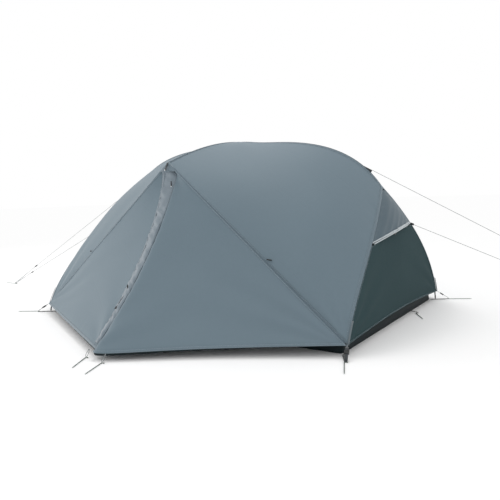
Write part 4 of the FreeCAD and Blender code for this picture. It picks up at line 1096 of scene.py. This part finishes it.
def makeTub():
    # bathtub floor: a coated sheet folded up at its sides, with folded corners and slack walls
    tub = {"corner": 0.022, "edge": 0.010, "slack": 0.003, "rise": 6}
    count = 7

    def outline(back, radius):
        x, y = inner["halfLength"] - back - radius, inner["halfWidth"] - back - radius
        points = []
        for sx, sy, first in ((1, 1, 0), (-1, 1, 1), (-1, -1, 2), (1, -1, 3)):
            for k in range(count):
                a = math.pi / 2 * (first + k / (count - 1))
                points.append(Vector((sx * x + radius * math.cos(a), sy * y + radius * math.sin(a), 0)))
        spread = []
        for a, b in zip(points, points[1:] + points[:1]):
            steps = max(1, round((b - a).length / 0.03))
            spread += [mix(a, b, i / steps) for i in range(steps)]
        return spread

    rings = []
    for share in (0.05, 0.35, 0.7, 0.93):
        rings.append([Vector((p.x * share, p.y * share, 0.0006)) for p in outline(0.012, tub["corner"])])
    rings.append([p + Vector((0, 0, 0.0006)) for p in outline(0.006, tub["corner"])])
    for i in range(tub["rise"] + 1):
        z = mix(0.007, inner["tubHeight"], i / tub["rise"])
        ring = []
        for p in outline(inner["lean"] * z / inner["tubHeight"] + 0.0008, tub["corner"]):
            wave = noise.noise(Vector((p.x * 11, p.y * 11, z * 16)))
            slack = tub["slack"] * wave * math.sin(math.pi * i / tub["rise"])
            ring.append(p * (1 - abs(slack) / p.length) + Vector((0, 0, z)))
        rings.append(ring)
    size = min(len(r) for r in rings)
    rings = [r[:size] for r in rings]
    outer = ringsPiece("floor_tub_cloth", rings, finish["tubCloth"], capped=False)
    shape = bmesh.new()
    shape.from_mesh(outer.data)
    shape.verts.ensure_lookup_table()
    shape.faces.new([shape.verts[k] for k in range(size - 1, -1, -1)])
    shape.to_mesh(outer.data)
    shape.free()
    wall = outer.modifiers.new("wall", "SOLIDIFY")
    wall.thickness, wall.offset = 0.0010, -1.0
    mesh = plainMesh(outer)
    outer.modifiers.clear()
    outer.data = mesh
    setOn(outer, "tent", "tub_cloth", "floor_tub")


makeInner()
makeInnerEnds()
makeTub()
print("inner tent hung")


# straps
strap = {"width": 0.015, "thickness": 0.0016, "aside": 0.012, "reach": 0.088, "rise": 0.100,
         "footX": 1.075, "footY": 0.740,
         "turns": {"a_front": -66, "b_front": -152, "a_rear": 28, "b_rear": 114}}


def webbing(points, facing, width=strap["width"], material="webbing"):
    # a flat strap along points, its broad side facing a way
    rings = []
    for i, here in enumerate(points):
        ahead = (points[min(i + 1, len(points) - 1)] - points[max(i - 1, 0)]).normalized()
        side = facing.cross(ahead).normalized()
        rings.append(bandRing(here, side, ahead.cross(side).normalized(), width, strap["thickness"]))
    return ringsPiece("webbing", rings, finish[material])


def makeStraps():
    straps, flats, climbs = [], [], []
    for name, degrees in strap["turns"].items():
        sx, sy = (1 if name[0] == "a" else -1), (-1 if name.endswith("front") else 1)
        way = Vector((math.cos(math.radians(degrees)), math.sin(math.radians(degrees)), 0))
        foot = Vector((sx * strap["footX"], sy * strap["footY"], 0))
        hook = foot + way * strap["reach"]
        top = Vector((sx * (fly["halfLength"] + strap["aside"]), sy * (fly["halfWidth"] + strap["aside"]),
                      fly["hemHeight"] - 0.004))
        low = hook - way * 0.002 + Vector((0, 0, 0.0075))
        straps.append(webbing([mix(top, low, t) for t in (0, 0.2, 0.5, 0.8, 1.0)], Vector((way.x, way.y, 1.2))))
        climb = [legSeam(z, sx, sy) + Vector((sx, sy, 0)) * 0.0045 for z in
                 (fly["hemHeight"] + strap["rise"] * k / 5 for k in range(6))]
        climbs.append(webbing(climb, Vector((sx, sy, 0.4)).normalized(), 0.009, "paleWebbing"))
        corner = Vector((sx * (inner["halfLength"] + 0.001), sy * (inner["halfWidth"] + 0.001), 0.00095))
        end = hook - way * 0.010 + Vector((0, 0, 0.00095))
        flats.append(webbing([mix(corner, end, t) for t in (0, 0.25, 0.5, 0.75, 1.0)], Vector((0, 0, 1))))
    setOn(joined("fly_straps_webbing", straps), "tent", "webbing", "fly_straps")
    setOn(joined("leg_seam_webbing", climbs), "tent", "webbing", "fly_straps")
    setOn(joined("tub_straps_webbing", flats), "tent", "webbing", "tub_straps")
    crown = [headPoint + Vector((-0.002, y, z)) for y, z in
             ((0.006, 0.004), (-0.004, -0.002), (-0.012, -0.016), (-0.018, -0.030), (-0.023, -0.042))]
    tab = webbing(crown, Vector((0, -1, 0.5)).normalized(), 0.010)
    tab.name = "apex_tab_front"
    setOn(tab, "door_front_b", "webbing")
    setOn(turned(tab, "apex_tab_rear"), "door_rear_a", "webbing")


makeStraps()


# bands and stitches of every body, front and turned
def finishSewing():
    for (body, material), kept in sewing.items():
        base = f"{material}_{body}"
        bands = joined(base + "_bands", kept["bands"])
        thread = repeated(base + "_stitches", kept["lines"], parts["stitch"], stitch["pitch"],
                          (stitch["width"], stitch["width"], stitch["length"]), finish["thread"], 5)
        for piece in (bands, thread):
            opposite = turned(piece, piece.name + "_turned")
            setOn(piece, body, slots[material])
            setOn(opposite, twinBody[body], slots[material])


finishSewing()
for part in parts.values():
    bpy.data.objects.remove(part)
print("bands and stitches sewn")


# CAD nodes that keep their shape take their finish
kept = {
    "pole": ("ridge_pole", "cross_pole", "leg_poles"), "ferrule": ("pole_ferrules",),
    "nylon": ("pole_hubs", "cross_hub", "pole_tips", "inner_clips", "flap_toggles_", "seam_toggle_",
              "ladder_lock_", "runner_", "vent_prop_"),
    "peg": ("pegs", "guy_pegs"), "elastic": ("shock_cords", "end_loops"), "webbing": ("guy_points",),
    "reflective": ("hood_pipings",), "enamel": ("zip_slider_",),
}
for material, starts in kept.items():
    for name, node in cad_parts.items():
        if name.startswith(starts):
            node.data.materials.clear()
            node.data.materials.append(finish[material])
print("hardware finished")


# floor and light
def makeStage():
    stage = {"half": 60.0, "key": 55, "fill": 6, "top": 10, "sky": 1.0, "paper": 0.985}
    mesh = bpy.data.meshes.new("floor")
    h = stage["half"]
    corners = [(x * h, y * h, -0.0005) for x, y in ((-1, -1), (1, -1), (1, 1), (-1, 1))]
    mesh.from_pydata(corners, [], [(0, 1, 2, 3)])
    shade = stage["paper"]
    material = newMaterial("matt_paper_floor", {
        "Base Color": (shade, shade, shade, 1), "Roughness": 1.0, "Specular IOR Level": 0.0})[0]
    mesh.materials.append(material)
    placed("floor", mesh)
    world = bpy.data.worlds.new("studio")
    world.use_nodes = True
    sky = world.node_tree.nodes["Background"].inputs
    sky["Color"].default_value = (1, 1, 1, 1)
    sky["Strength"].default_value = stage["sky"]
    bpy.context.scene.world = world
    for name, place, size in (("key", (-5.0, -2.2, 1.3), 2.4), ("fill", (3.0, -4.5, 2.6), 3.0),
                              ("top", (-0.15, -0.1, 2.7), 0.9)):
        lamp = bpy.data.lights.new(name, "AREA")
        lamp.energy, lamp.size = stage[name], size
        holder = placed(name, lamp)
        holder.location = place
        holder.rotation_euler = (Vector((0, -0.3, 0.5)) - Vector(place)).to_track_quat("-Z", "Y").to_euler()
    bpy.context.scene.view_settings.view_transform = "Standard"


makeStage()
